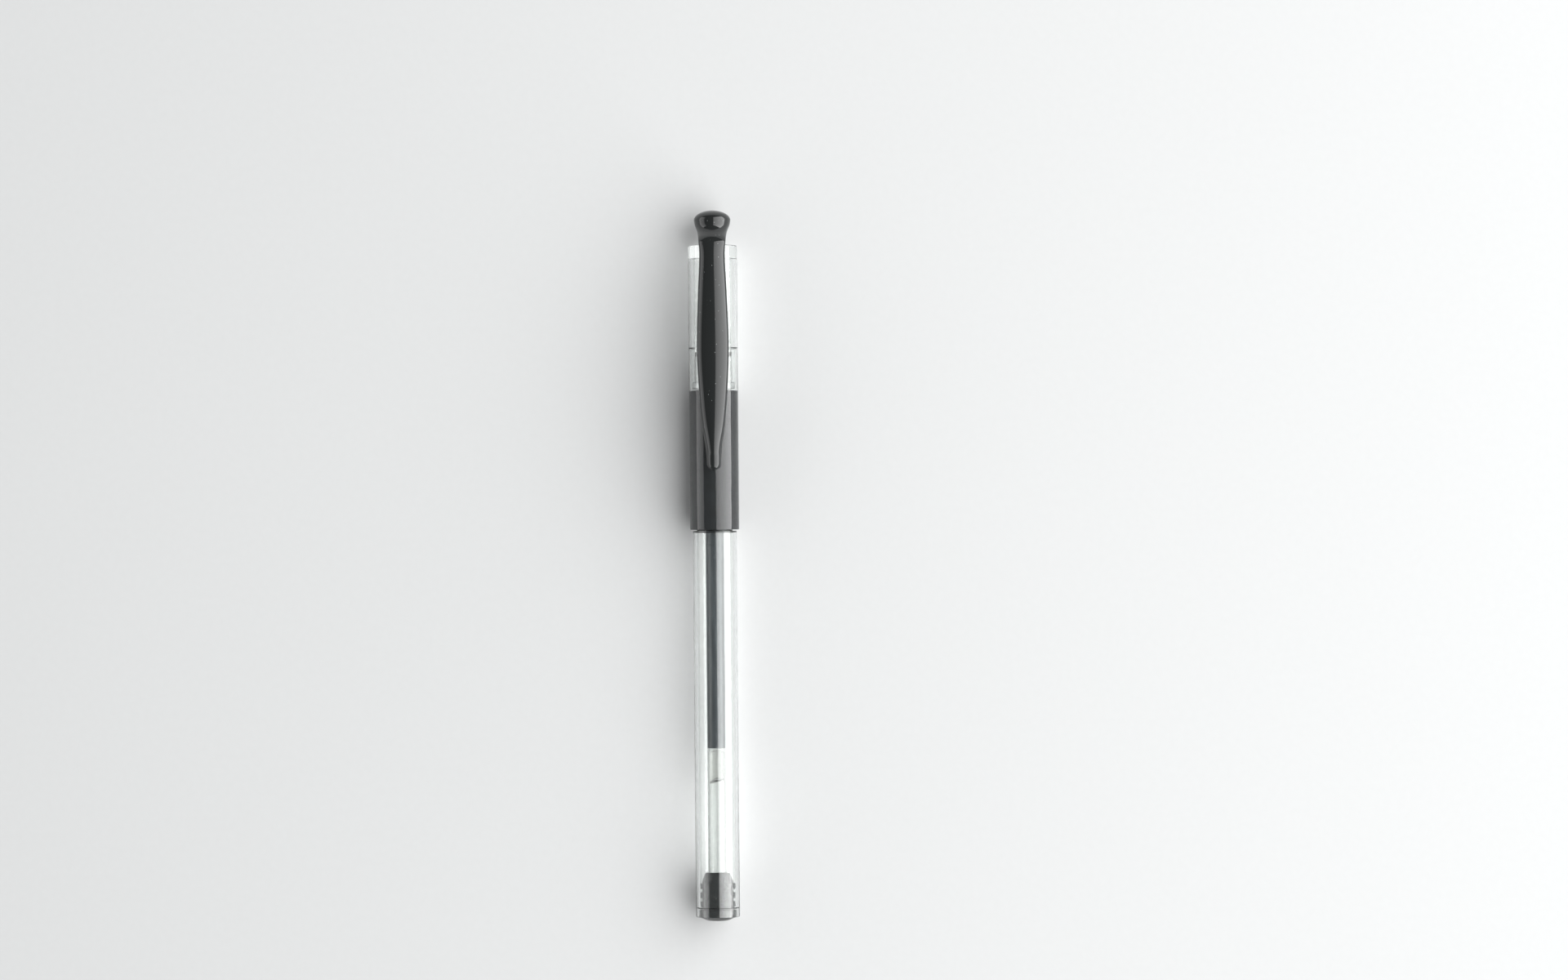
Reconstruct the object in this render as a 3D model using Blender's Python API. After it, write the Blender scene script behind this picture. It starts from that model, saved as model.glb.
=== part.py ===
"""Fabric marking pen: a capped gel-ink pen with a clear barrel, lying on its side.

The pen's axis runs along Y, its domed end at +Y and its end plug at -Y. The clip faces +Z.
A station is a distance along the axis, counted from the top of the dome towards the plug.
All sizes are in metres.
"""
import math

import bmesh
import bpy
from mathutils import Vector

MM = 0.001

# Overall sizes
PEN_LENGTH = 149.9 * MM
CAP_LENGTH = 60.0 * MM
BARREL_RADIUS = 4.65 * MM
BARREL_WALL = 0.85 * MM

# Refill
TUBE_RADIUS = 1.94 * MM
TUBE_WALL = 0.34 * MM
FLANGE_STEP = 0.22 * MM          # adapter flange over the ink tube
ADAPTER_LENGTH = 12.2 * MM       # from its front face to the end of the ink tube
ADAPTER_PLUG = 5.4 * MM          # the part pushed into the ink tube
ADAPTER_FLANGE_LENGTH = 1.6 * MM
ADAPTER_SHOULDER_LENGTH = 4.0 * MM
ADAPTER_WAIST_STEP = 0.4 * MM    # waist below the flange
SNOUT_LENGTH = 2.0 * MM          # the adapter's front, in the nose cone's seat
SNOUT_WALL = 0.2 * MM
POINT_EXPOSED = 4.9 * MM         # metal point in front of the adapter
POINT_SHANK = 3.0 * MM           # metal point inside the adapter
POINT_RADIUS = 1.15 * MM
POINT_TIP_LENGTH = 1.1 * MM
POINT_TIP_RADIUS = 0.55 * MM
POINT_NECK_LENGTH = 2.2 * MM     # from the ball to the end of the narrow neck
POINT_NECK_RADIUS = 0.6 * MM
POINT_TAPER_GAP = 0.6 * MM       # full width this far in front of the adapter
POINT_GAP = 0.15 * MM            # round the point and the snout, inside the nose cone
BALL_RADIUS = 0.25 * MM
BALL_CLEARANCE = 0.04 * MM
BALL_LIP_SHARE = 0.75            # width of the lip over the ball, as a share of the cup
BALL_LIP_WALL = 0.07 * MM
INK_CORE_RADIUS = 0.62 * MM
INK_FILM = 0.1 * MM              # between the ink or the grease and a wall
GREASE_LENGTH = 6.5 * MM
TUBE_EMPTY = 20.4 * MM           # empty tube behind the grease
TAIL_ENGAGEMENT = 1.0 * MM       # ink tube inside the end plug's socket

# Barrel, nose cone thread and grip, from the inside out
REFILL_CLEARANCE = 0.3 * MM
SPIGOT_WALL = 0.7 * MM
SPIGOT_LENGTH = 6.8 * MM
THREAD_CLEARANCE = 0.1 * MM
NECK_WALL = 1.3 * MM
GRIP_CLEARANCE = 0.05 * MM
GRIP_WALL = 0.89 * MM
GRIP_LENGTH = 29.3 * MM
GRIP_RINGS = 11
GRIP_RING_DEPTH = 0.15 * MM

# Nose cone
NOSE_EXPOSED_POINT = 3.0 * MM
NOSE_LENGTH = 22.3 * MM
NOSE_WALL = 0.75 * MM
NOSE_FRONT_RADIUS = 1.75 * MM
NOSE_CURVE = [(0.0, 0.0), (0.17, 0.5), (0.42, 0.80), (0.72, 0.955), (1.0, 1.0)]  # shares of length, growth
NOSE_LEAD_IN = 0.8 * MM          # cone between two bores
COLLAR_LENGTH = 1.4 * MM
COLLAR_FILLET = 0.6 * MM
COLLAR_SETBACK = 0.2 * MM        # collar below the grip's crests

# Cap
CAP_CLEARANCE = 0.1 * MM
CAP_WALL = 0.4 * MM
CAP_END_WALL = 2.8 * MM
CAP_WIDE_BORE = 38.3 * MM        # from the mouth to the inner step
CAP_NOSE_CLEARANCE = 0.2 * MM
CAP_EDGE = 0.5 * MM
CAP_LIP = 0.12 * MM
SEAL_RADIUS = 1.8 * MM
SEAL_LENGTH = 1.95 * MM
SEAL_CLEARANCE = 0.1 * MM
SEAL_RING_WALL = 0.6 * MM
SEAL_RING_LENGTH = 3.0 * MM
SEAL_EDGE = 0.25 * MM
TIP_GAP = 0.2 * MM

# Clip and head
HEAD_LENGTH = 7.1 * MM
HEAD_RADIUS = 3.875 * MM
HEAD_DOME = 2.1 * MM             # from the top of the button to its widest place
HEAD_BUTTON_LENGTH = 4.1 * MM
NECK_WIDTH = 6.25 * MM
NECK_FRONT = 3.5 * MM            # in front of the axis, where the neck leaves the button
HEAD_PEG_RADIUS = 1.5 * MM
HEAD_PEG_LENGTH = 2.3 * MM
HEAD_PEG_OVERLAP = 1.0 * MM      # of the peg inside the head
CLIP_LENGTH = 47.5 * MM
CLIP_ROOT_WIDTH = 5.6 * MM
CLIP_WAIST_WIDTH = 5.4 * MM
CLIP_WIDTH = 6.7 * MM
CLIP_TIP_WIDTH = 3.1 * MM
CLIP_THICKNESS = 1.7 * MM
CLIP_EDGE = 0.55 * MM
CLIP_STAND_OFF = 0.75 * MM       # under the arm, above the cap
CLIP_TIP_GAP = 0.15 * MM         # under the clip's tip, above the cap
CLIP_HINGE_INSET = 0.3 * MM
CLIP_TIP_RISE = 0.6 * MM         # of the underside, over the rounded tip
CLIP_WAIST_AT = 0.06             # shares of the clip's length
CLIP_WIDEST_AT = 0.47
CLIP_SHOULDER_AT = 0.80
CLIP_DROP_AT = 0.75

# End plug
PLUG_LENGTH = 10.4 * MM
PLUG_FLANGE_LENGTH = 2.5 * MM
PLUG_FLANGE_STEP = 0.18 * MM
PLUG_CLEARANCE = 0.08 * MM
PLUG_RIBS = 3
PLUG_RIB_PITCH = 1.9 * MM
PLUG_RIB_HEIGHT = 0.2 * MM
PLUG_LEAD_IN = 1.9 * MM
PLUG_SOCKET_DEPTH = 4.0 * MM
PLUG_DOME = 0.8 * MM             # the plug's end stands out of the barrel
PLUG_FLAT_RADIUS = 2.0 * MM
PLUG_EDGE = 0.2 * MM
SOCKET_CLEARANCE = 0.15 * MM

SEAT_GAP = 0.3 * MM              # between faces that meet along the axis
PRESS_GAP = 0.05 * MM            # between faces that are pressed together
BARREL_EDGE = 0.15 * MM
COLLAR_EDGE = 0.25 * MM
GRIP_ROUND = 0.4 * MM
SIDES = 32
REFILL_SIDES = 24

# Radii that follow
tube_bore = TUBE_RADIUS - TUBE_WALL
flange_radius = TUBE_RADIUS + FLANGE_STEP
snout_radius = POINT_RADIUS + SNOUT_WALL
neck_bore = flange_radius + REFILL_CLEARANCE
spigot_radius = neck_bore + SPIGOT_WALL
nose_bore = spigot_radius + THREAD_CLEARANCE
nose_radius = nose_bore + NOSE_WALL
neck_radius = neck_bore + NECK_WALL
grip_bore = neck_radius + GRIP_CLEARANCE
grip_radius = grip_bore + GRIP_WALL
collar_radius = grip_radius - COLLAR_SETBACK
cap_bore = grip_radius + CAP_CLEARANCE
cap_radius = cap_bore + CAP_WALL
cap_small_bore = nose_radius + CAP_NOSE_CLEARANCE
barrel_bore = BARREL_RADIUS - BARREL_WALL
plug_rib_radius = barrel_bore - PLUG_CLEARANCE
plug_radius = plug_rib_radius - PLUG_RIB_HEIGHT
plug_flange_radius = barrel_bore + PLUG_FLANGE_STEP
axis_height = max(cap_radius, BARREL_RADIUS)

# Stations that follow
cap_top = HEAD_LENGTH + SEAT_GAP
cap_mouth = cap_top + CAP_LENGTH
cap_floor = cap_top + CAP_END_WALL
cap_step = cap_mouth - CAP_WIDE_BORE
seal_top = cap_floor + SEAL_CLEARANCE
seal_bottom = seal_top + SEAL_LENGTH
tip = seal_bottom + TIP_GAP
adapter_front = tip + POINT_EXPOSED
tube_front = adapter_front + ADAPTER_LENGTH
snout_rear = adapter_front + SNOUT_LENGTH
nose_front = tip + NOSE_EXPOSED_POINT
nose_rear = nose_front + NOSE_LENGTH
spigot_front = nose_rear - SPIGOT_LENGTH
grip_front = nose_rear + SEAT_GAP
grip_rear = grip_front + GRIP_LENGTH
shoulder = grip_rear + SEAT_GAP
barrel_end = PEN_LENGTH - PLUG_DOME
plug_front = PEN_LENGTH - PLUG_LENGTH
tube_rear = plug_front + TAIL_ENGAGEMENT
grease_rear = tube_rear - TUBE_EMPTY
ink_rear = grease_rear - GREASE_LENGTH - SEAT_GAP
clip_root = HEAD_LENGTH + SEAT_GAP


def y_at(station):
    """Height along Y of a station counted from the top of the dome."""
    return PEN_LENGTH / 2 - station


def make_material(name, colour, roughness, metallic=0.0, transmission=0.0):
    """Principled material with one colour."""
    material = bpy.data.materials.new(name)
    material.use_nodes = True
    shader = material.node_tree.nodes["Principled BSDF"]
    shader.inputs["Base Color"].default_value = (*colour, 1.0)
    shader.inputs["Roughness"].default_value = roughness
    shader.inputs["Metallic"].default_value = metallic
    shader.inputs["Transmission Weight"].default_value = transmission
    return material


def make_pivot(name, station, height, parent=None):
    """Empty on the axis that a group of pieces moves along or about."""
    pivot = bpy.data.objects.new(name, None)
    bpy.context.collection.objects.link(pivot)
    place = Vector((0.0, y_at(station), height))
    pivot["place"] = place
    if parent:
        pivot.parent = parent
        place = place - Vector(parent["place"])
    pivot.location = place
    return pivot


def add_piece(name, mesh_data, material, pivot):
    """Close the mesh, hang it on its pivot and shade it as a moulded piece."""
    bmesh.ops.remove_doubles(mesh_data, verts=mesh_data.verts, dist=0.001 * MM)
    bmesh.ops.recalc_face_normals(mesh_data, faces=mesh_data.faces)
    mesh = bpy.data.meshes.new(name)
    mesh_data.to_mesh(mesh)
    mesh_data.free()
    mesh.materials.append(material)
    mesh.shade_smooth()
    mesh.set_sharp_from_angle(angle=math.radians(35))
    piece = bpy.data.objects.new(name, mesh)
    bpy.context.collection.objects.link(piece)
    piece.parent = pivot
    return piece


def turned(name, half_section, material, pivot, sides=SIDES):
    """Spin a half section, (station, radius) points, about the pen's axis.

    A section that starts and ends on the axis is solid, any other is closed into a ring.
    The flats touch the stated radius, so the piece is as wide across its flats as it is stated.
    """
    base = pivot["place"][1]
    mesh_data = bmesh.new()
    half_step = math.pi / sides
    across_flats = 1.0 / math.cos(half_step)
    verts = []
    for station, radius in half_section:
        reach = radius * across_flats
        verts.append(mesh_data.verts.new((reach * math.sin(half_step), y_at(station) - base,
                                          reach * math.cos(half_step))))
    edges = [mesh_data.edges.new(pair) for pair in zip(verts, verts[1:])]
    if half_section[0][1] > 0.0:
        edges.append(mesh_data.edges.new((verts[-1], verts[0])))
    bmesh.ops.spin(mesh_data, geom=verts + edges, cent=(0.0, 0.0, 0.0), axis=(0.0, 1.0, 0.0),
                   angle=2.0 * math.pi, steps=sides, use_merge=False)
    return add_piece(name, mesh_data, material, pivot)


def lofted(name, rings, material, pivot):
    """Bridge closed rings of world points, each with the same number, and cap both ends."""
    base = Vector(pivot["place"])
    mesh_data = bmesh.new()
    loops = []
    for ring in rings:
        verts = [mesh_data.verts.new(Vector(point) - base) for point in ring]
        loops.append([mesh_data.edges.new((verts[i - 1], verts[i])) for i in range(len(verts))])
        if ring in (rings[0], rings[-1]):
            mesh_data.faces.new(verts)
    for near, far in zip(loops, loops[1:]):
        bmesh.ops.bridge_loops(mesh_data, edges=near + far)
    return add_piece(name, mesh_data, material, pivot)


def smooth_curve(points, at):
    """Value at a station of a smooth curve through (station, value) points."""
    for i in range(len(points) - 1):
        if at <= points[i + 1][0] or i == len(points) - 2:
            break
    before = points[max(i - 1, 0)]
    start, end = points[i], points[i + 1]
    after = points[min(i + 2, len(points) - 1)]
    span = end[0] - start[0]
    slope_start = (end[1] - before[1]) / (end[0] - before[0])
    slope_end = (after[1] - start[1]) / (after[0] - start[0])
    t = min(max((at - start[0]) / span, 0.0), 1.0)
    return ((2 * t ** 3 - 3 * t ** 2 + 1) * start[1] + (t ** 3 - 2 * t ** 2 + t) * span * slope_start
            + (3 * t ** 2 - 2 * t ** 3) * end[1] + (t ** 3 - t ** 2) * span * slope_end)


def quarter_arc(centre, radii, start_degrees, steps=4):
    """Points of a quarter ellipse in (station, radius), from start_degrees on for 90 degrees."""
    points = []
    for i in range(steps + 1):
        angle = math.radians(start_degrees + 90.0 * i / steps)
        points.append((centre[0] + radii[0] * math.cos(angle), centre[1] + radii[1] * math.sin(angle)))
    return points


def make_barrel(material, pivot):
    """Clear barrel with the neck under the grip and the spigot that the nose cone screws on."""
    counterbore = plug_flange_radius + PLUG_CLEARANCE
    counterbore_front = PEN_LENGTH - PLUG_FLANGE_LENGTH - SEAT_GAP
    turned("barrel", [
        (spigot_front, neck_bore),
        (spigot_front, spigot_radius - BARREL_EDGE),
        (spigot_front + BARREL_EDGE, spigot_radius),
        (nose_rear, spigot_radius),
        (nose_rear, neck_radius),
        (shoulder, neck_radius),
        (shoulder, BARREL_RADIUS - BARREL_EDGE),
        (shoulder + BARREL_EDGE, BARREL_RADIUS),
        (barrel_end - BARREL_EDGE, BARREL_RADIUS),
        (barrel_end, BARREL_RADIUS - BARREL_EDGE),
        (barrel_end, counterbore),
        (counterbore_front, counterbore),
        (counterbore_front, barrel_bore),
        (shoulder + BARREL_WALL, barrel_bore),
        (shoulder, neck_bore),
    ], material, pivot)


def make_grip(material, pivot):
    """Rubber sleeve with shallow rings and rounded ends."""
    pitch = GRIP_LENGTH / GRIP_RINGS
    section = [(grip_front, grip_bore), (grip_front, grip_radius - GRIP_ROUND)]
    for ring in range(GRIP_RINGS):
        crest = grip_front + pitch * (ring + 0.5)
        section.append((crest - pitch / 4, grip_radius - GRIP_RING_DEPTH / 2))
        section.append((crest, grip_radius))
        section.append((crest + pitch / 4, grip_radius - GRIP_RING_DEPTH / 2))
        if ring < GRIP_RINGS - 1:
            section.append((crest + pitch / 2, grip_radius - GRIP_RING_DEPTH))
    section += [(grip_rear, grip_radius - GRIP_ROUND), (grip_rear, grip_bore)]
    turned("rubber_grip", section, material, pivot)


def make_end_plug(material, pivot):
    """Ribbed plug pressed into the barrel's end, with a socket for the ink tube's tail."""
    flange_front = PEN_LENGTH - PLUG_FLANGE_LENGTH
    socket = TUBE_RADIUS + SOCKET_CLEARANCE
    section = [(PEN_LENGTH, 0.0)]
    section += quarter_arc((PEN_LENGTH - PLUG_DOME, PLUG_FLAT_RADIUS),
                           (PLUG_DOME, plug_flange_radius - PLUG_FLAT_RADIUS), 0.0)
    section.append((flange_front, plug_flange_radius))
    rib_width = PLUG_RIB_PITCH / 2
    for rib in range(PLUG_RIBS):
        rear = flange_front - rib_width / 2 - rib * PLUG_RIB_PITCH
        section += [(rear, plug_radius), (rear - PLUG_EDGE, plug_rib_radius),
                    (rear - rib_width + PLUG_EDGE, plug_rib_radius), (rear - rib_width, plug_radius)]
    section += [(plug_front + PLUG_LEAD_IN, plug_radius), (plug_front, socket + TUBE_WALL),
                (plug_front, socket), (plug_front + PLUG_SOCKET_DEPTH, socket),
                (plug_front + PLUG_SOCKET_DEPTH, 0.0)]
    turned("end_plug", section, material, pivot)


def make_nose_cone(material, pivot):
    """Clear cone that screws onto the spigot; its collar stops the grip and locates the cap."""
    collar_front = nose_rear - COLLAR_LENGTH
    mouth_bore = POINT_RADIUS + POINT_GAP
    snout_bore = snout_radius + POINT_GAP
    cone_length = collar_front - COLLAR_FILLET - nose_front
    growth = nose_radius - NOSE_FRONT_RADIUS
    steps = 10
    section = [(nose_front, mouth_bore)]
    for i in range(steps + 1):
        share = i / steps
        section.append((nose_front + share * cone_length,
                        NOSE_FRONT_RADIUS + growth * smooth_curve(NOSE_CURVE, share)))
    collar_rear = nose_rear - SEAT_GAP / 2
    section += [(collar_front, collar_radius - COLLAR_EDGE),
                (collar_front + COLLAR_EDGE, collar_radius),
                (collar_rear - COLLAR_EDGE, collar_radius), (collar_rear, collar_radius - COLLAR_EDGE),
                (collar_rear, nose_bore), (spigot_front - SEAT_GAP, nose_bore),
                (spigot_front - SEAT_GAP - NOSE_LEAD_IN, neck_bore), (snout_rear, neck_bore),
                (snout_rear, snout_bore), (adapter_front - SEAT_GAP, snout_bore),
                (nose_front + NOSE_LEAD_IN, mouth_bore)]
    turned("nose_cone", section, material, pivot)


def make_refill(tube_material, ink_material, grease_material, metal, pivot):
    """Ink tube with its ink and grease, the clear adapter, the metal point and its ball."""
    fluid = tube_bore - INK_FILM
    turned("refill_tube", [(tube_front, tube_bore), (tube_front, TUBE_RADIUS),
                           (tube_rear, TUBE_RADIUS), (tube_rear, tube_bore)],
           tube_material, pivot, REFILL_SIDES)

    plug_rear = tube_front + ADAPTER_PLUG
    plug_wall = tube_bore - PRESS_GAP
    ink_bore = INK_CORE_RADIUS + INK_FILM
    flange_front = snout_rear + SEAT_GAP
    flange_rear = flange_front + ADAPTER_FLANGE_LENGTH
    waist = flange_radius - ADAPTER_WAIST_STEP
    shoulder_front = tube_front - ADAPTER_SHOULDER_LENGTH
    shank_rear = adapter_front + POINT_SHANK
    point_bore = POINT_RADIUS + PRESS_GAP
    turned("tip_adapter", [
        (adapter_front, point_bore),
        (adapter_front, snout_radius),
        (flange_front, snout_radius),
        (flange_front, flange_radius),
        (flange_rear, flange_radius),
        (flange_rear, waist),
        (shoulder_front, waist),
        (shoulder_front, flange_radius),
        (tube_front - SEAT_GAP, flange_radius),
        (tube_front - SEAT_GAP, plug_wall),
        (plug_rear, plug_wall),
        (plug_rear, ink_bore),
        (shank_rear + SEAT_GAP / 2, ink_bore),
        (shank_rear + SEAT_GAP / 2, point_bore),
    ], tube_material, pivot, REFILL_SIDES)

    turned("ink_column", [(shank_rear + SEAT_GAP, 0.0), (shank_rear + SEAT_GAP, INK_CORE_RADIUS),
                          (plug_rear + SEAT_GAP, INK_CORE_RADIUS), (plug_rear + SEAT_GAP, fluid),
                          (ink_rear, fluid), (ink_rear, 0.0)],
           ink_material, pivot, REFILL_SIDES)
    turned("grease_follower", [(ink_rear + SEAT_GAP, 0.0), (ink_rear + SEAT_GAP, fluid),
                               (grease_rear, fluid), (grease_rear, 0.0)],
           grease_material, pivot, REFILL_SIDES)

    ball_centre = tip + BALL_RADIUS
    cup = BALL_RADIUS + BALL_CLEARANCE
    lip_angle = math.asin(BALL_LIP_SHARE)
    lip_station = ball_centre - cup * math.cos(lip_angle)
    cup_steps = 5
    cup_wall = [(ball_centre + cup, 0.0)]
    for i in range(1, cup_steps + 1):
        angle = math.pi + (lip_angle - math.pi) * i / cup_steps
        cup_wall.append((ball_centre - cup * math.cos(angle), cup * math.sin(angle)))
    turned("tip_point", cup_wall + [
        (lip_station, BALL_LIP_SHARE * cup + BALL_LIP_WALL),
        (tip + POINT_TIP_LENGTH, POINT_TIP_RADIUS),
        (tip + POINT_NECK_LENGTH, POINT_NECK_RADIUS),
        (adapter_front - POINT_TAPER_GAP, POINT_RADIUS),
        (shank_rear, POINT_RADIUS),
        (shank_rear, 0.0),
    ], metal, pivot, REFILL_SIDES)

    mesh_data = bmesh.new()
    bmesh.ops.create_uvsphere(mesh_data, u_segments=16, v_segments=10, radius=BALL_RADIUS)
    offset = Vector((0.0, y_at(ball_centre) - pivot["place"][1], 0.0))
    bmesh.ops.translate(mesh_data, verts=mesh_data.verts, vec=offset)
    add_piece("writing_ball", mesh_data, metal, pivot)


def make_cap_tube(material, pivot):
    """Clear cap: closed end with the head's blind hole, the seal's ring, and a stepped bore."""
    seal_bore = SEAL_RADIUS + SEAL_CLEARANCE
    ring_radius = seal_bore + SEAL_RING_WALL
    ring_bottom = cap_floor + SEAL_RING_LENGTH
    peg_hole = HEAD_PEG_RADIUS + SEAL_CLEARANCE
    peg_floor = HEAD_LENGTH + HEAD_PEG_LENGTH + SEAL_CLEARANCE
    section = [(peg_floor, 0.0), (peg_floor, peg_hole), (cap_top, peg_hole)]
    corner = (cap_top + CAP_EDGE, cap_radius - CAP_EDGE)
    section += quarter_arc(corner, (CAP_EDGE, CAP_EDGE), 90.0)[::-1]
    section += [(cap_mouth - CAP_LIP, cap_radius), (cap_mouth, cap_radius - CAP_LIP),
                (cap_mouth, cap_bore), (cap_step, cap_bore), (cap_step, cap_small_bore),
                (cap_floor, cap_small_bore), (cap_floor, ring_radius), (ring_bottom, ring_radius),
                (ring_bottom, seal_bore), (cap_floor, seal_bore), (cap_floor, 0.0)]
    turned("cap_tube", section, material, pivot)


def make_tip_seal(material, pivot):
    """Soft plug in the cap's inner ring that stops the writing point drying out."""
    turned("tip_seal", [(seal_top, 0.0), (seal_top, SEAL_RADIUS), (seal_bottom - SEAL_EDGE, SEAL_RADIUS),
                        (seal_bottom, SEAL_RADIUS - SEAL_EDGE), (seal_bottom, 0.0)],
           material, pivot, REFILL_SIDES)


def head_ring(station, half_width, front, squareness):
    """Ring round the head: a half circle behind the axis, a fuller half ellipse in front."""
    steps = 24
    ring = []
    for i in range(steps):
        angle = 2 * math.pi * i / steps
        across, up = math.sin(angle), math.cos(angle)
        power = 2.0 / squareness if up > 0 else 1.0
        x = half_width * math.copysign(abs(across) ** power, across)
        z = (front if up > 0 else half_width) * math.copysign(abs(up) ** power, up)
        ring.append((x, y_at(station), axis_height + z))
    return ring


def make_clip_head(material, pivot):
    """Button on a short neck that sweeps forward into the clip, pegged into the cap's end."""
    root = CLIP_ROOT_WIDTH / 2
    clip_top = cap_radius + CLIP_STAND_OFF + CLIP_THICKNESS
    rings = []
    for angle in (4, 20, 38, 56, 74, 90):
        sweep = math.sin(math.radians(angle))
        station = HEAD_DOME * (1.0 - math.cos(math.radians(angle)))
        rings.append(head_ring(station, HEAD_RADIUS * sweep, HEAD_RADIUS * sweep, 2.0))
    under_button = HEAD_BUTTON_LENGTH - HEAD_DOME
    for share in (0.4, 0.75):
        half_width = NECK_WIDTH / 2 + (HEAD_RADIUS - NECK_WIDTH / 2) * math.sqrt(1.0 - share ** 2)
        rings.append(head_ring(HEAD_DOME + share * under_button, half_width, half_width, 2.0))
    neck_steps = 5
    for i in range(neck_steps + 1):
        t = i / neck_steps
        station = HEAD_BUTTON_LENGTH + (HEAD_LENGTH - HEAD_BUTTON_LENGTH) * t
        half_width = NECK_WIDTH / 2 + (root - NECK_WIDTH / 2) * t
        lean = t * t * (3.0 - 2.0 * t)
        front = NECK_FRONT + (clip_top - NECK_FRONT) * lean
        rings.append(head_ring(station, half_width, front, 2.0 + 2.0 * t))
    head = lofted("clip_head", rings, material, pivot)

    peg_data = bmesh.new()
    depth = HEAD_PEG_LENGTH + HEAD_PEG_OVERLAP
    bmesh.ops.create_cone(peg_data, cap_ends=True, segments=REFILL_SIDES, radius1=HEAD_PEG_RADIUS,
                          radius2=HEAD_PEG_RADIUS, depth=depth)
    peg_mesh = bpy.data.meshes.new("head_peg_cutter")
    peg_data.to_mesh(peg_mesh)
    peg_data.free()
    peg = bpy.data.objects.new("head_peg_cutter", peg_mesh)
    bpy.context.collection.objects.link(peg)
    peg.parent = pivot
    peg.location = (0.0, y_at(HEAD_LENGTH - HEAD_PEG_OVERLAP + depth / 2) - pivot["place"][1], 0.0)
    peg.rotation_euler = (math.radians(90), 0.0, 0.0)
    peg.hide_render = True
    peg.display_type = "WIRE"
    join = head.modifiers.new("peg", "BOOLEAN")
    join.operation = "UNION"
    join.object = peg
    join.solver = "EXACT"


def make_clip_arm(material, pivot):
    """Springy arm: crowned on top, flat below, waisted at its root and tapered to a round tip."""
    end = clip_root + CLIP_LENGTH
    underside = axis_height + cap_radius + CLIP_STAND_OFF
    tip_underside = axis_height + cap_radius + CLIP_TIP_GAP
    tip_round = CLIP_TIP_WIDTH / 2
    widths = [
        (clip_root, CLIP_ROOT_WIDTH),
        (clip_root + CLIP_WAIST_AT * CLIP_LENGTH, CLIP_WAIST_WIDTH),
        (clip_root + CLIP_WIDEST_AT * CLIP_LENGTH, CLIP_WIDTH),
        (clip_root + CLIP_SHOULDER_AT * CLIP_LENGTH, 0.5 * (CLIP_WIDTH + CLIP_TIP_WIDTH)),
        (end - tip_round, CLIP_TIP_WIDTH),
    ]
    heights = [(clip_root, underside), (clip_root + CLIP_DROP_AT * CLIP_LENGTH, underside),
               (end - tip_round, tip_underside), (end, tip_underside)]
    body_steps = 16
    stations = [clip_root + (end - tip_round - clip_root) * i / body_steps
                for i in range(body_steps + 1)]
    stations += [end - tip_round * (1.0 - math.sin(math.radians(a))) for a in (30, 55, 78)]
    crown_steps = 8
    rings = []
    for station in stations:
        past_round = max(0.0, station - (end - tip_round)) / tip_round
        shrink = math.sqrt(1.0 - past_round ** 2)
        half = 0.5 * smooth_curve(widths, station) * shrink
        bottom = smooth_curve(heights, station) + CLIP_TIP_RISE * (1.0 - shrink)
        thickness = CLIP_EDGE + (CLIP_THICKNESS - CLIP_EDGE) * shrink
        ring = [(-half, y_at(station), bottom), (half, y_at(station), bottom)]
        for i in range(crown_steps + 1):
            angle = math.pi * i / crown_steps
            top = CLIP_EDGE * shrink + (thickness - CLIP_EDGE * shrink) * math.sin(angle)
            ring.append((half * math.cos(angle), y_at(station), bottom + top))
        rings.append(ring)
    lofted("clip_arm", rings, material, pivot)


def clear_scene():
    """Remove every object that the scene starts with."""
    for item in list(bpy.data.objects):
        bpy.data.objects.remove(item, do_unlink=True)


def main():
    """Build the pen from its tail to its clip."""
    clear_scene()
    clear_plastic = make_material("clear_polystyrene", (0.90, 0.92, 0.92), 0.06, transmission=1.0)
    black_plastic = make_material("black_gloss_plastic", (0.012, 0.013, 0.013), 0.15)
    rubber = make_material("black_grip_rubber", (0.028, 0.032, 0.036), 0.6)
    refill_plastic = make_material("translucent_polypropylene", (0.80, 0.82, 0.82), 0.3, transmission=0.8)
    ink = make_material("black_gel_ink", (0.010, 0.011, 0.012), 0.2)
    grease = make_material("clear_grease", (0.85, 0.86, 0.83), 0.1, transmission=0.9)
    metal = make_material("nickel_silver", (0.62, 0.60, 0.56), 0.25, metallic=1.0)
    seal_rubber = make_material("seal_rubber", (0.55, 0.56, 0.55), 0.7)

    barrel_pivot = make_pivot("barrel_pivot", shoulder, axis_height)
    front_pivot = make_pivot("front_pivot", nose_rear, axis_height, barrel_pivot)
    cap_pivot = make_pivot("cap_pivot", cap_mouth, axis_height, front_pivot)
    clip_pivot = make_pivot("clip_pivot", clip_root + CLIP_HINGE_INSET,
                            axis_height + cap_radius + CLIP_STAND_OFF + CLIP_THICKNESS / 2, cap_pivot)

    make_barrel(clear_plastic, barrel_pivot)
    make_grip(rubber, barrel_pivot)
    make_end_plug(black_plastic, barrel_pivot)
    make_nose_cone(clear_plastic, front_pivot)
    make_refill(refill_plastic, ink, grease, metal, front_pivot)
    make_cap_tube(clear_plastic, cap_pivot)
    make_tip_seal(seal_rubber, cap_pivot)
    make_clip_head(black_plastic, cap_pivot)
    make_clip_arm(black_plastic, clip_pivot)


main()
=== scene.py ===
"""Looks of the fabric marking pen: smooth pieces, finishes, camera and light around its CAD frame.

The pen's axis runs along Y with the domed end at +Y. A station is a distance along the axis,
counted from the top of the dome towards the end plug. All sizes are in metres.
"""

import math

import bmesh
import bpy
from bpy.props import FloatProperty, FloatVectorProperty, IntProperty, PointerProperty
from mathutils import Matrix, Vector


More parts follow.
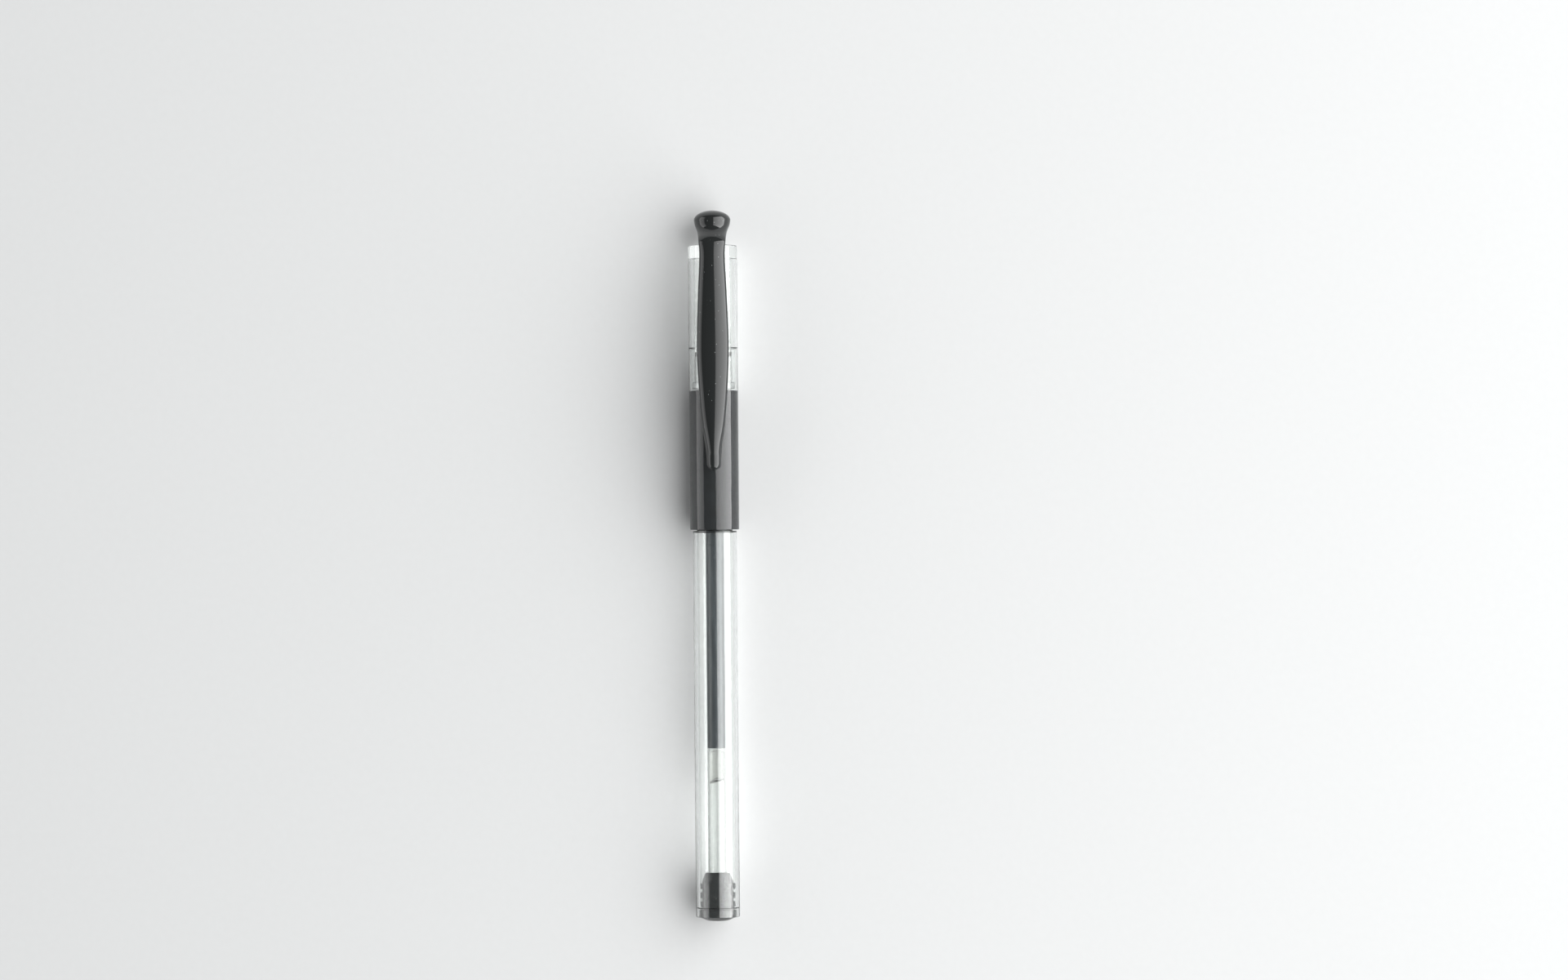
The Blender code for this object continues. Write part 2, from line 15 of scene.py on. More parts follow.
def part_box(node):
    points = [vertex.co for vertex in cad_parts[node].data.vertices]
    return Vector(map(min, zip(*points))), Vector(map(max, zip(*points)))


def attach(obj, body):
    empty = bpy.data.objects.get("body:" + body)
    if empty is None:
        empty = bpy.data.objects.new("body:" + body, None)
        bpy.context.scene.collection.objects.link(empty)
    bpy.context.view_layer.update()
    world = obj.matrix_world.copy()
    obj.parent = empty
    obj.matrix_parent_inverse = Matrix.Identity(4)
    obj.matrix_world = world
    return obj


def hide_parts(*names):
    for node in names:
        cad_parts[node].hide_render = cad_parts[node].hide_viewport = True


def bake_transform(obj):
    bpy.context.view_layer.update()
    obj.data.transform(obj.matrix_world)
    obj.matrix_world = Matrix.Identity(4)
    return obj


bl_info = {
    "name": "Fabric Marking Pen",
    "version": (1, 0, 0),
    "blender": (4, 5, 0),
    "location": "3D View > Sidebar > Marking Pen",
    "description": "Builds the visible pieces of a capped gel-ink fabric marking pen",
    "category": "Object",
}

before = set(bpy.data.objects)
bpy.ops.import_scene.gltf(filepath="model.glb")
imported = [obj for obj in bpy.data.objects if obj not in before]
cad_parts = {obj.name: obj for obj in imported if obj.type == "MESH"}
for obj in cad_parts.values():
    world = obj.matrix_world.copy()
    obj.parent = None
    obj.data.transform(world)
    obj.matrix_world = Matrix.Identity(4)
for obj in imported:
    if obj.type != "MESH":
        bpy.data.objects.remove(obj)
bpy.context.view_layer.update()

MM = 0.001

# fits and small features that the panel doesn't offer
SUNK_IN = 0.01 * MM               # overlap that leaves no crack between two surfaces
PLUG_CLEARANCE = 0.08 * MM
BORE_CONE = (0.6 * MM, 0.3 * MM)  # in front of and behind the barrel's shoulder
THREAD_SETBACK = 0.8 * MM         # of the thread's start behind the spigot's front
THREAD_CLEARANCE = 0.1 * MM
SOCKET_CLEARANCE = 0.15 * MM      # round the ink tube, in the plug's socket
SOCKET_RIM = 0.5 * MM
PLUG_FLAT_SHARE = 0.55            # flat middle of the plug's domed end, as a share of its radius
PLUG_DOME = 0.8 * MM
PLUG_LEAD_IN = 1.9 * MM
PLUG_ROUND = 0.35 * MM
SNOUT_LENGTH = 2.0 * MM           # front of the point holder, in the nose cone's seat
SNOUT_WALL = 0.2 * MM
POINT_GAP = 0.15 * MM             # round the point and the snout, inside the nose cone
NOSE_HALFWAY = 3.5 * MM           # from the mouth to where the cone has grown by half
NOSE_TAPER = ((8.5 * MM, 0.45 * MM), (14.5 * MM, 0.1 * MM))  # distance from the mouth, short of full
NOSE_LIP = 0.5 * MM
NOSE_THROAT = 0.8 * MM            # length of the narrow bore at the mouth
NOSE_LEAD_IN = 0.8 * MM
COLLAR_FILLET = 0.6 * MM
TUBE_ROUND = 0.08 * MM
INK_CORE = 0.62 * MM              # radius of the ink inside the point holder
INK_ROUND = 0.06 * MM
MENISCUS = 0.45 * MM
GREASE_FILM = 0.03 * MM
PRESS_FIT = 0.02 * MM
FLANGE_LENGTH = 1.6 * MM
WAIST_STEP = 0.4 * MM
HOLDER_SHOULDER = 4.0 * MM
HOLDER_CLEARANCE = 0.05 * MM
HOLDER_CORE = 0.72 * MM
HOLDER_ROUND = 0.1 * MM
BALL_CLEARANCE = 0.04 * MM
BALL_LIP_SHARE = 0.75             # width of the lip over the ball, as a share of the cup
BALL_LIP_WALL = 0.07 * MM
TIP_LENGTH, TIP_RADIUS = 1.1 * MM, 0.55 * MM
NECK_LENGTH, NECK_RADIUS = 2.2 * MM, 0.6 * MM
TAPER_GAP = 0.6 * MM              # full width this far in front of the holder
POINT_ROUND = 0.12 * MM
CAP_NOSE_GAP = 0.3 * MM
SEAL_CLEARANCE = 0.1 * MM
SEAL_RING_WALL = 0.6 * MM
PEG_HOLE = 1.6 * MM
PEG_GAP = 0.1 * MM
MOUTH_BAND = 1.0 * MM             # straight part of the cap before its mouth
CAP_ROUND = 0.14 * MM
SEAL_ROUND = 0.25 * MM
HEAD_LENGTH = 7.1 * MM
HEAD_BLEND_START = 3.4 * MM       # where the round head begins to turn into the flat arm
ARM_SETTLED = 12.0 * MM           # where the arm's shape stops changing quickly
ARM_FLAT_END = 43.0 * MM
SENSOR_WIDTH = 36.0
FLOOR_HALF = 2.5
VIEW_DEPTH = 10.0
SOFTBOX_REACH = 3.0
RIGHT_SOFTBOX = ((0.20, 1.36), (1.32, 0.06))   # upper and lower edge: across, height
LEFT_SOFTBOX = ((-1.17, 0.98), (-1.60, 0.04))
FINISHES = {}                     # materials already made, by the name of their function


# ---------------------------------------------------------------- places from the frame

def span(node):
    """Front station, rear station and radius of a turned CAD node."""
    low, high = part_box(node)
    return DOME_TOP - high.y, DOME_TOP - low.y, (high.x - low.x) / 2


DOME_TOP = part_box("clip_head")[1].y
AXIS_HEIGHT = (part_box("barrel")[0].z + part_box("barrel")[1].z) / 2
BARREL_FRONT, BARREL_REAR, BARREL_RADIUS = span("barrel")
GRIP_FRONT, GRIP_REAR, GRIP_RADIUS = span("rubber_grip")
PLUG_FRONT, PLUG_REAR, PLUG_RADIUS = span("end_plug")
NOSE_FRONT, NOSE_REAR, COLLAR_RADIUS = span("nose_cone")
TUBE_FRONT, TUBE_REAR, TUBE_RADIUS = span("refill_tube")
INK_FRONT, INK_REAR = span("ink_column")[:2]
GREASE_FRONT, GREASE_REAR = span("grease_follower")[:2]
HOLDER_FRONT, HOLDER_REAR, HOLDER_RADIUS = span("tip_adapter")
POINT_FRONT, POINT_REAR, POINT_RADIUS = span("tip_point")
BALL_FRONT, BALL_REAR, BALL_RADIUS = span("writing_ball")
CAP_FRONT, CAP_REAR, CAP_RADIUS = span("cap_tube")
SEAL_FRONT, SEAL_REAR, SEAL_RADIUS = span("tip_seal")
HEAD_FRONT, HEAD_REAR, HEAD_RADIUS = span("clip_head")
CLIP_FRONT, CLIP_REAR, CLIP_HALF_WIDTH = span("clip_arm")
CLIP_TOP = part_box("clip_arm")[1].z
PEN_MIDDLE = (PLUG_REAR + HEAD_FRONT) / 2


def linear(code):
    """Linear RGB of an sRGB hex colour."""
    channels = [int(code[i:i + 2], 16) / 255 for i in (1, 3, 5)]
    return tuple(c / 12.92 if c <= 0.04045 else ((c + 0.055) / 1.055) ** 2.4 for c in channels)


def length(name, millimetres, description):
    """Length property whose default is in millimetres."""
    return FloatProperty(name=name, description=description, default=millimetres * MM,
                         min=0.0, unit="LENGTH", precision=5)


def colour(name, code, description):
    """Colour property whose default is an sRGB hex colour."""
    return FloatVectorProperty(name=name, description=description, subtype="COLOR", size=3,
                               min=0.0, max=1.0, default=linear(code))


class PenSizes(bpy.types.PropertyGroup):
    """Sizes that the frame's boxes don't give."""
    barrel_wall: length("Barrel wall", 0.85, "Thickness of the clear barrel")
    neck_wall: length("Neck wall", 1.3, "Thickness of the barrel's neck under the grip")
    neck_bore: length("Neck bore", 2.46, "Inner radius of the neck and of the nose cone")
    spigot_wall: length("Spigot wall", 0.7, "Thickness of the threaded spigot")
    seat: length("Seat", 0.3, "Gap between faces that meet along the axis")
    edge: length("Edge", 0.16, "Rounding of a moulded edge")
    thread_pitch: length("Thread pitch", 1.25, "Distance between turns of the thread")
    thread_height: length("Thread height", 0.09, "How far the thread stands out of the spigot")
    thread_turns: IntProperty(name="Thread turns", description="Turns of the thread",
                              default=4, min=1, max=6)
    grip_wall: length("Grip wall", 0.89, "Thickness of the rubber sleeve")
    grip_press: length("Grip press", 0.16, "How far the soft crests stand out to grip the cap")
    grip_ring_depth: length("Ring depth", 0.045, "Depth of the rings in the grip")
    grip_rings: IntProperty(name="Grip rings", description="Number of rings in the grip",
                            default=11, min=3, max=30)
    plug_flange: length("Plug flange", 2.5, "Length of the plug's flange")
    plug_body: length("Plug body", 3.3, "Radius of the plug between its ribs")
    plug_rib: length("Plug rib", 3.77, "Radius of the plug's ribs, just clear of the bore")
    plug_rib_pitch: length("Rib pitch", 1.9, "Distance between the plug's ribs")
    plug_rib_width: length("Rib width", 1.2, "Width of one rib")
    plug_ribs: IntProperty(name="Plug ribs", description="Number of ribs on the plug",
                           default=3, min=1, max=6)
    plug_socket: length("Plug socket", 4.0, "Depth of the socket that holds the ink tube")
    grease_slant: length("Grease slant", 0.7, "How far the grease's rear end leans along the tube")
    tube_wall: length("Tube wall", 0.34, "Thickness of the ink tube")
    nose_wall: length("Nose wall", 0.75, "Thickness of the nose cone")
    nose_mouth: length("Nose mouth", 1.75, "Outer radius at the front of the nose cone")
    collar: length("Collar", 1.4, "Length of the nose cone's collar")
    cap_wall: length("Cap wall", 0.4, "Thickness of the cap's skirt")
    cap_end_wall: length("Cap end", 2.8, "Thickness of the cap's closed end")
    cap_wide_bore: length("Cap wide bore", 38.3, "Length of the cap's wide bore")
    cap_edge: length("Cap edge", 0.5, "Rounding of the cap's closed end")
    seal_ring: length("Seal ring", 3.0, "Length of the ring that holds the seal")
    dome: length("Dome", 2.1, "Height of the button's dome")
    neck_width: length("Neck width", 6.25, "Width under the button")
    root_width: length("Root width", 5.6, "Width where the clip leaves the head")
    waist_width: length("Waist width", 5.4, "Narrowest width near the clip's root")
    tip_width: length("Tip width", 3.1, "Width of the clip's foot")
    clip_thickness: length("Clip thickness", 1.7, "Thickness of the clip at its crown")
    clip_edge: length("Clip edge", 0.15, "Thickness of the clip along its edges")
    foot_length: length("Foot length", 3.6, "Length of the round foot at the clip's tip")
    foot_drop: length("Foot drop", 0.55, "How far the foot lies under the clip's crown")


class PenColours(bpy.types.PropertyGroup):
    """Colours of the pen's finishes."""
    clear: colour("Clear plastic", "#f6f8f7", "Tint of the clear polystyrene")
    black: colour("Black plastic", "#1b1d1d", "Gloss plastic of the clip and the plug")
    dust: colour("Dust", "#8d9190", "Fine dust and lint on the gloss plastic")
    rubber: colour("Grip rubber", "#141617", "Thermoplastic rubber of the grip")
    rubber_worn: colour("Grip rubber, worn", "#1d2022", "Crests of the grip where fingers rub")
    tube: colour("Ink tube", "#f8f9f8", "Translucent polypropylene")
    ink: colour("Ink", "#2e3337", "Black gel ink")
    ink_thin: colour("Ink, thin", "#474d51", "Ink where it lies thin on the tube")
    grease: colour("Grease", "#f6f6f3", "Follower grease behind the ink")
    silver: colour("Nickel silver", "#b9b4a9", "Metal of the writing point")
    carbide: colour("Carbide", "#8b8d90", "Metal of the writing ball")
    seal: colour("Seal", "#d3d6d2", "Silicone of the tip seal")
    paper: colour("Paper", "#bfc0c0", "Floor under the pen")


class PenStage(bpy.types.PropertyGroup):
    """Camera and light."""
    view_width: length("View width", 331.0, "Width of the camera's view at the pen")
    view_aside: length("View aside", 14.7, "Distance from the pen's axis to the view's middle")
    view_along: length("View along", 15.8, "Distance from the pen's middle to the view's middle")
    lens: FloatProperty(name="Lens", description="Focal length in millimetres", default=135.0)
    lean: FloatProperty(name="Lean", description="Lean of the pen in the view",
                        default=math.radians(0.49), subtype="ANGLE")
    right_glow: FloatProperty(name="Right softbox", description="Radiance low on the right",
                              default=6.0, min=0.0)
    left_glow: FloatProperty(name="Left softbox", description="Radiance low on the left",
                             default=2.3, min=0.0)
    room_glow: FloatProperty(name="Room", description="Radiance of the dim room",
                             default=0.2, min=0.0)


# ---------------------------------------------------------------- shapes

def along(station):
    """Height along Y of a station."""
    return DOME_TOP - station


def soften(outline, rounding, closed=True, steps=4):
    """Outline with each corner replaced by a small curve, as a mould leaves it."""
    count = len(outline)
    softened = []
    for i, (station, radius) in enumerate(outline):
        corner = Vector((station, radius))
        if not closed and i in (0, count - 1):
            softened.append((station, radius))
            continue
        before = Vector(outline[i - 1])
        after = Vector(outline[(i + 1) % count])
        cut = min(rounding, 0.45 * (before - corner).length, 0.45 * (after - corner).length)
        start = corner + (before - corner).normalized() * cut
        end = corner + (after - corner).normalized() * cut
        for step in range(steps + 1):
            t = step / steps
            point = (1 - t) ** 2 * start + 2 * t * (1 - t) * corner + t ** 2 * end
            softened.append((point.x, max(point.y, 0.0)))
    return softened


def eased(points, at):
    """Value at a station of a smooth curve through (station, value) points."""
    last = len(points) - 2
    i = next((k for k in range(last) if at <= points[k + 1][0]), last)
    start, end = points[i], points[i + 1]
    before, after = points[max(i - 1, 0)], points[min(i + 2, last + 1)]
    reach = end[0] - start[0]
    leave = (end[1] - before[1]) / (end[0] - before[0])
    arrive = (after[1] - start[1]) / (after[0] - start[0])
    t = min(max((at - start[0]) / reach, 0.0), 1.0)
    return ((2 * t ** 3 - 3 * t ** 2 + 1) * start[1] + (t ** 3 - 2 * t ** 2 + t) * reach * leave
            + (3 * t ** 2 - 2 * t ** 3) * end[1] + (t ** 3 - t ** 2) * reach * arrive)


def steps_between(start, end, count):
    """Evenly spaced stations, both ends included."""
    return [start + (end - start) * i / count for i in range(count + 1)]


def new_piece(name, mesh_data, material, crease=50.0):
    """Object of a bmesh whose faces all point outwards, shaded smooth between its creases."""
    bmesh.ops.recalc_face_normals(mesh_data, faces=mesh_data.faces)
    mesh = bpy.data.meshes.new(name)
    mesh_data.to_mesh(mesh)
    mesh_data.free()
    mesh.materials.append(material)
    mesh.shade_smooth()
    mesh.set_sharp_from_angle(angle=math.radians(crease))
    piece = bpy.data.objects.new(name, mesh)
    bpy.context.scene.collection.objects.link(piece)
    return piece


def turned(name, outline, material, closed=True, sides=96, crease=50.0):
    """Spin an outline of (station, radius) points about the axis.

    A closed outline makes a ring. An open one starts and ends on the axis and makes a solid.
    """
    mesh_data = bmesh.new()
    rings = []
    for station, radius in outline:
        if radius < 1e-7:
            rings.append([mesh_data.verts.new((0.0, along(station), AXIS_HEIGHT))])
            continue
        rings.append([mesh_data.verts.new((radius * math.sin(2 * math.pi * i / sides),
                                           along(station),
                                           AXIS_HEIGHT + radius * math.cos(2 * math.pi * i / sides)))
                      for i in range(sides)])
    pairs = list(zip(rings, rings[1:]))
    if closed:
        pairs.append((rings[-1], rings[0]))
    for near, far in pairs:
        for i in range(sides):
            k = (i + 1) % sides
            corners = [near[i % len(near)], near[k % len(near)], far[k % len(far)], far[i % len(far)]]
            corners = list(dict.fromkeys(corners))
            if len(corners) > 2:
                mesh_data.faces.new(corners)
    return new_piece(name, mesh_data, material, crease)


def lofted(name, rings, material, crease=50.0):
    """Skin closed rings that have the same number of points, and close both ends to a point."""
    mesh_data = bmesh.new()
    loops = [[mesh_data.verts.new(point) for point in ring] for ring in rings]
    for near, far in zip(loops, loops[1:]):
        for i in range(len(near)):
            mesh_data.faces.new((near[i - 1], near[i], far[i], far[i - 1]))
    for loop in (loops[0], loops[-1]):
        middle = sum((vert.co for vert in loop), Vector()) / len(loop)
        pole = mesh_data.verts.new(middle)
        for i in range(len(loop)):
            mesh_data.faces.new((loop[i - 1], loop[i], pole))
    return new_piece(name, mesh_data, material, crease)


def place(piece, body, slot_name, *nodes):
    """Hang a piece on its body and hide its CAD nodes."""
    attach(piece, body)
    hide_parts(*nodes)


# ---------------------------------------------------------------- nodes

def add(tree, kind, inputs=None, **settings):
    """Add a node with its settings; an input is a value or the socket that feeds it."""
    node = tree.nodes.new(kind)
    for setting, value in settings.items():
        setattr(node, setting, value)
    for socket_name, value in (inputs or {}).items():
        if isinstance(value, bpy.types.NodeSocket):
            tree.links.new(value, node.inputs[socket_name])
        else:
            node.inputs[socket_name].default_value = value
    return node


def start_material(name):
    """Empty node material, its output node, and object coordinates in metres."""
    material = bpy.data.materials.new(name)
    material.use_nodes = True
    tree = material.node_tree
    tree.nodes.clear()
    spot = add(tree, "ShaderNodeTexCoord").outputs["Object"]
    return material, tree, add(tree, "ShaderNodeOutputMaterial"), spot


def per_mm(millimetres):
    """Texture scale whose features repeat about every so many millimetres."""
    return 1.0 / (millimetres * MM)


def darker(rgb, share):
    """A share of a colour, as RGBA."""
    return (*(channel * share for channel in rgb), 1.0)


def clear_finish(name, tint, ior, roughness, flow, shade):
    """Clear plastic whose shadow stays light, with lines where it flowed into the mould."""
    material, tree, output, spot = start_material(name)
    drawn_out = add(tree, "ShaderNodeMapping", {"Vector": spot, "Scale": (1.0, flow, 1.0)})
    lines = add(tree, "ShaderNodeTexNoise",
                {"Vector": drawn_out.outputs["Vector"], "Scale": per_mm(1.6), "Detail": 3.0})
    gloss = add(tree, "ShaderNodeMapRange",
                {"Value": lines.outputs["Fac"], "From Min": 0.35, "From Max": 0.75,
                 "To Min": roughness, "To Max": roughness * 2.2})
    sink = add(tree, "ShaderNodeTexNoise", {"Vector": spot, "Scale": per_mm(6.0), "Detail": 1.0})
    waved = add(tree, "ShaderNodeBump",
                {"Height": sink.outputs["Fac"], "Strength": 0.3, "Distance": 0.08 * MM})
    skin = add(tree, "ShaderNodeBump",
               {"Height": lines.outputs["Fac"], "Strength": 0.18, "Distance": 0.03 * MM,
                "Normal": waved.outputs["Normal"]})
    plastic = add(tree, "ShaderNodeBsdfPrincipled",
                  {"Base Color": (*tint, 1.0), "IOR": ior, "Transmission Weight": 1.0,
                   "Roughness": gloss.outputs["Result"], "Normal": skin.outputs["Normal"]})
    light_through = add(tree, "ShaderNodeBsdfTransparent", {"Color": darker((1, 1, 1), shade)})
    ray = add(tree, "ShaderNodeLightPath")
    surface = add(tree, "ShaderNodeMixShader", {"Fac": ray.outputs["Is Shadow Ray"]})
    tree.links.new(plastic.outputs["BSDF"], surface.inputs[1])
    tree.links.new(light_through.outputs["BSDF"], surface.inputs[2])
    tree.links.new(surface.outputs["Shader"], output.inputs["Surface"])
    return material


def clear_polystyrene(colours):
    """Injection-moulded clear polystyrene: hard gloss, faint flow lines along the part."""
    return clear_finish("moulded_clear_polystyrene", colours.clear, 1.59, 0.015, 0.12, 0.93)


def clear_cap_polystyrene(colours):
    """The same plastic on the cap, a little more scuffed by pockets and cases."""
    return clear_finish("scuffed_clear_polystyrene", colours.clear, 1.59, 0.02, 0.3, 0.94)


def extruded_polypropylene(colours):
    """Extruded polypropylene: waxy and slightly milky, with draw lines along the tube."""
    return clear_finish("extruded_polypropylene", colours.tube, 1.49, 0.11, 0.02, 0.9)


def silicone_grease(colours):
    """Clear follower grease: soft gloss, uneven where it wets the tube."""
    return clear_finish("silicone_grease", colours.grease, 1.4, 0.12, 1.0, 0.88)


def black_finish(name, colours, smooth, scuffed):
    """Moulded black plastic whose gloss varies between two roughnesses, with dust on it."""
    material, tree, output, spot = start_material(name)
    lint = add(tree, "ShaderNodeMapping", {"Vector": spot, "Scale": (1.0, 0.7, 1.0)})
    specks = add(tree, "ShaderNodeTexVoronoi",
                 {"Vector": lint.outputs["Vector"], "Scale": per_mm(0.8)})
    near_speck = add(tree, "ShaderNodeMapRange",
                     {"Value": specks.outputs["Distance"], "From Min": 0.03, "From Max": 0.1,
                      "To Min": 1.0, "To Max": 0.0})
    chosen = add(tree, "ShaderNodeSeparateColor", {"Color": specks.outputs["Color"]})
    kept = add(tree, "ShaderNodeMath", {0: chosen.outputs["Red"], 1: 0.5},
               operation="GREATER_THAN")
    dust = add(tree, "ShaderNodeMath", {0: near_speck.outputs["Result"], 1: kept.outputs["Value"]},
               operation="MULTIPLY")
    body = add(tree, "ShaderNodeMix",
               {"Factor": dust.outputs["Value"], "A": (*colours.black, 1.0),
                "B": (*colours.dust, 1.0)}, data_type="RGBA")
    drawn_out = add(tree, "ShaderNodeMapping", {"Vector": spot, "Scale": (1.0, 0.25, 1.0)})
    haze = add(tree, "ShaderNodeTexNoise",
               {"Vector": drawn_out.outputs["Vector"], "Scale": per_mm(2.5), "Detail": 5.0})
    gloss = add(tree, "ShaderNodeMapRange",
                {"Value": haze.outputs["Fac"], "From Min": 0.4, "From Max": 0.7,
                 "To Min": smooth, "To Max": scuffed})
    dull = add(tree, "ShaderNodeMath", {0: dust.outputs["Value"], 1: 0.5, 2: gloss.outputs["Result"]},
               operation="MULTIPLY_ADD")
    sink = add(tree, "ShaderNodeTexNoise",
               {"Vector": drawn_out.outputs["Vector"], "Scale": per_mm(6.0), "Detail": 1.0})
    skin = add(tree, "ShaderNodeBump",
               {"Height": sink.outputs["Fac"], "Strength": 0.35, "Distance": 0.12 * MM})
    plastic = add(tree, "ShaderNodeBsdfPrincipled",
                  {"Base Color": body.outputs["Result"], "Roughness": dull.outputs["Value"],
                   "IOR": 1.54, "Normal": skin.outputs["Normal"]})
    tree.links.new(plastic.outputs["BSDF"], output.inputs["Surface"])
    return material


def gloss_abs(colours):
    """Moulded black ABS: mirror-like gloss over deep black, gentle sink marks, dust specks."""
    return black_finish("moulded_gloss_abs", colours, 0.06, 0.13)


def scuffed_abs(colours):
    """The same ABS where it is rubbed by pressing it in: dulled gloss in uneven patches."""
    return black_finish("scuffed_moulded_abs", colours, 0.14, 0.34)


def grip_rubber(colours):
    """Moulded thermoplastic rubber: dull slate black, fine pebble, paler on rubbed crests."""
    material, tree, output, spot = start_material("moulded_thermoplastic_rubber")
    wear = add(tree, "ShaderNodeTexNoise",
               {"Vector": spot, "Scale": per_mm(3.0), "Detail": 6.0, "Roughness": 0.65})
    worn = add(tree, "ShaderNodeMapRange",
               {"Value": wear.outputs["Fac"], "From Min": 0.35, "From Max": 0.75})
    body = add(tree, "ShaderNodeMix",
               {"Factor": worn.outputs["Result"], "A": (*colours.rubber, 1.0),
                "B": (*colours.rubber_worn, 1.0)}, data_type="RGBA")
    pebble = add(tree, "ShaderNodeTexNoise", {"Vector": spot, "Scale": per_mm(0.18), "Detail": 2.0})
    skin = add(tree, "ShaderNodeBump",
               {"Height": pebble.outputs["Fac"], "Strength": 0.45, "Distance": 0.03 * MM})
    gloss = add(tree, "ShaderNodeMapRange",
                {"Value": wear.outputs["Fac"], "To Min": 0.62, "To Max": 0.44})
    rubber = add(tree, "ShaderNodeBsdfPrincipled",
                 {"Base Color": body.outputs["Result"], "Roughness": gloss.outputs["Result"],
                  "IOR": 1.5, "Specular IOR Level": 0.15, "Normal": skin.outputs["Normal"]})
    tree.links.new(rubber.outputs["BSDF"], output.inputs["Surface"])
    return material


def gel_ink_finish(colours):
    """Black gel ink against the tube: blue-grey black with thin places wiped lengthwise."""
    material, tree, output, spot = start_material("black_gel_ink")
    wiped = add(tree, "ShaderNodeMapping", {"Vector": spot, "Scale": (1.0, 0.04, 1.0)})
    streaks = add(tree, "ShaderNodeTexNoise",
                  {"Vector": wiped.outputs["Vector"], "Scale": per_mm(0.35), "Detail": 4.0})
    thin = add(tree, "ShaderNodeMapRange",
               {"Value": streaks.outputs["Fac"], "From Min": 0.45, "From Max": 0.75})
    body = add(tree, "ShaderNodeMix",
               {"Factor": thin.outputs["Result"], "A": (*colours.ink, 1.0),
                "B": (*colours.ink_thin, 1.0)}, data_type="RGBA")
    skin = add(tree, "ShaderNodeBump",
               {"Height": streaks.outputs["Fac"], "Strength": 0.2, "Distance": 0.01 * MM})
    ink = add(tree, "ShaderNodeBsdfPrincipled",
              {"Base Color": body.outputs["Result"], "Roughness": 0.32, "IOR": 1.37,
               "Normal": skin.outputs["Normal"]})
    tree.links.new(ink.outputs["BSDF"], output.inputs["Surface"])
    return material


def turned_metal(name, rgb, roughness, ring_mm):
    """Turned metal: the tool's fine rings catch the light across the piece."""
    material, tree, output, spot = start_material(name)
    rings = add(tree, "ShaderNodeTexWave",
                {"Vector": spot, "Scale": per_mm(ring_mm) / 20.0, "Distortion": 0.4,
                 "Detail": 1.0}, bands_direction="Y")
    cast = add(tree, "ShaderNodeTexNoise", {"Vector": spot, "Scale": per_mm(0.9), "Detail": 3.0})
    clean = add(tree, "ShaderNodeMapRange",
                {"Value": cast.outputs["Fac"], "From Min": 0.3, "From Max": 0.7})
    body = add(tree, "ShaderNodeMix",
               {"Factor": clean.outputs["Result"], "A": darker(rgb, 0.82), "B": (*rgb, 1.0)},
               data_type="RGBA")
    skin = add(tree, "ShaderNodeBump",
               {"Height": rings.outputs["Fac"], "Strength": 0.25, "Distance": 0.004 * MM})
    metal = add(tree, "ShaderNodeBsdfPrincipled",
                {"Base Color": body.outputs["Result"], "Metallic": 1.0, "Roughness": roughness,
                 "Normal": skin.outputs["Normal"]})
    tree.links.new(metal.outputs["BSDF"], output.inputs["Surface"])
    return material


def nickel_silver(colours):
    """Nickel silver bar, turned to the point: warm pale metal with fine tool rings."""
    return turned_metal("turned_nickel_silver", colours.silver, 0.24, 0.06)


def tungsten_carbide(colours):
    """Sintered carbide, lapped to a ball: darker, tighter gloss."""
    return turned_metal("lapped_tungsten_carbide", colours.carbide, 0.16, 0.02)


def silicone_seal(colours):
    """Moulded silicone: soft pale grey with a faint bloom and no gloss."""
    material, tree, output, spot = start_material("moulded_silicone")
    bloom = add(tree, "ShaderNodeTexNoise", {"Vector": spot, "Scale": per_mm(0.8), "Detail": 4.0})
    clean = add(tree, "ShaderNodeMapRange",
                {"Value": bloom.outputs["Fac"], "From Min": 0.3, "From Max": 0.7})
    body = add(tree, "ShaderNodeMix",
               {"Factor": clean.outputs["Result"], "A": darker(colours.seal, 0.86),
                "B": (*colours.seal, 1.0)}, data_type="RGBA")
    silicone = add(tree, "ShaderNodeBsdfPrincipled",
                   {"Base Color": body.outputs["Result"], "Roughness": 0.6, "IOR": 1.41,
                    "Subsurface Weight": 0.2, "Subsurface Scale": 0.6 * MM})
    tree.links.new(silicone.outputs["BSDF"], output.inputs["Surface"])
    return material


def uncoated_paper(colours):
    """Uncoated pale paper: matte, with fibres that only break its evenness a little."""
    material, tree, output, spot = start_material("uncoated_paper")
    fibres = add(tree, "ShaderNodeTexNoise", {"Vector": spot, "Scale": per_mm(1.5), "Detail": 6.0})
    dense = add(tree, "ShaderNodeMapRange",
                {"Value": fibres.outputs["Fac"], "From Min": 0.3, "From Max": 0.7})
    body = add(tree, "ShaderNodeMix",
               {"Factor": dense.outputs["Result"], "A": darker(colours.paper, 0.985),
                "B": (*colours.paper, 1.0)}, data_type="RGBA")
    paper = add(tree, "ShaderNodeBsdfPrincipled",
                {"Base Color": body.outputs["Result"], "Roughness": 0.9,
                 "Specular IOR Level": 0.2})
    tree.links.new(paper.outputs["BSDF"], output.inputs["Surface"])
    return material


def finish(context, make):
    """The material that a function makes, made once."""
    colours = context.scene.pen_colours
    if make.__name__ not in FINISHES:
        FINISHES[make.__name__] = make(colours)
    return FINISHES[make.__name__]


# ---------------------------------------------------------------- geometry node trees

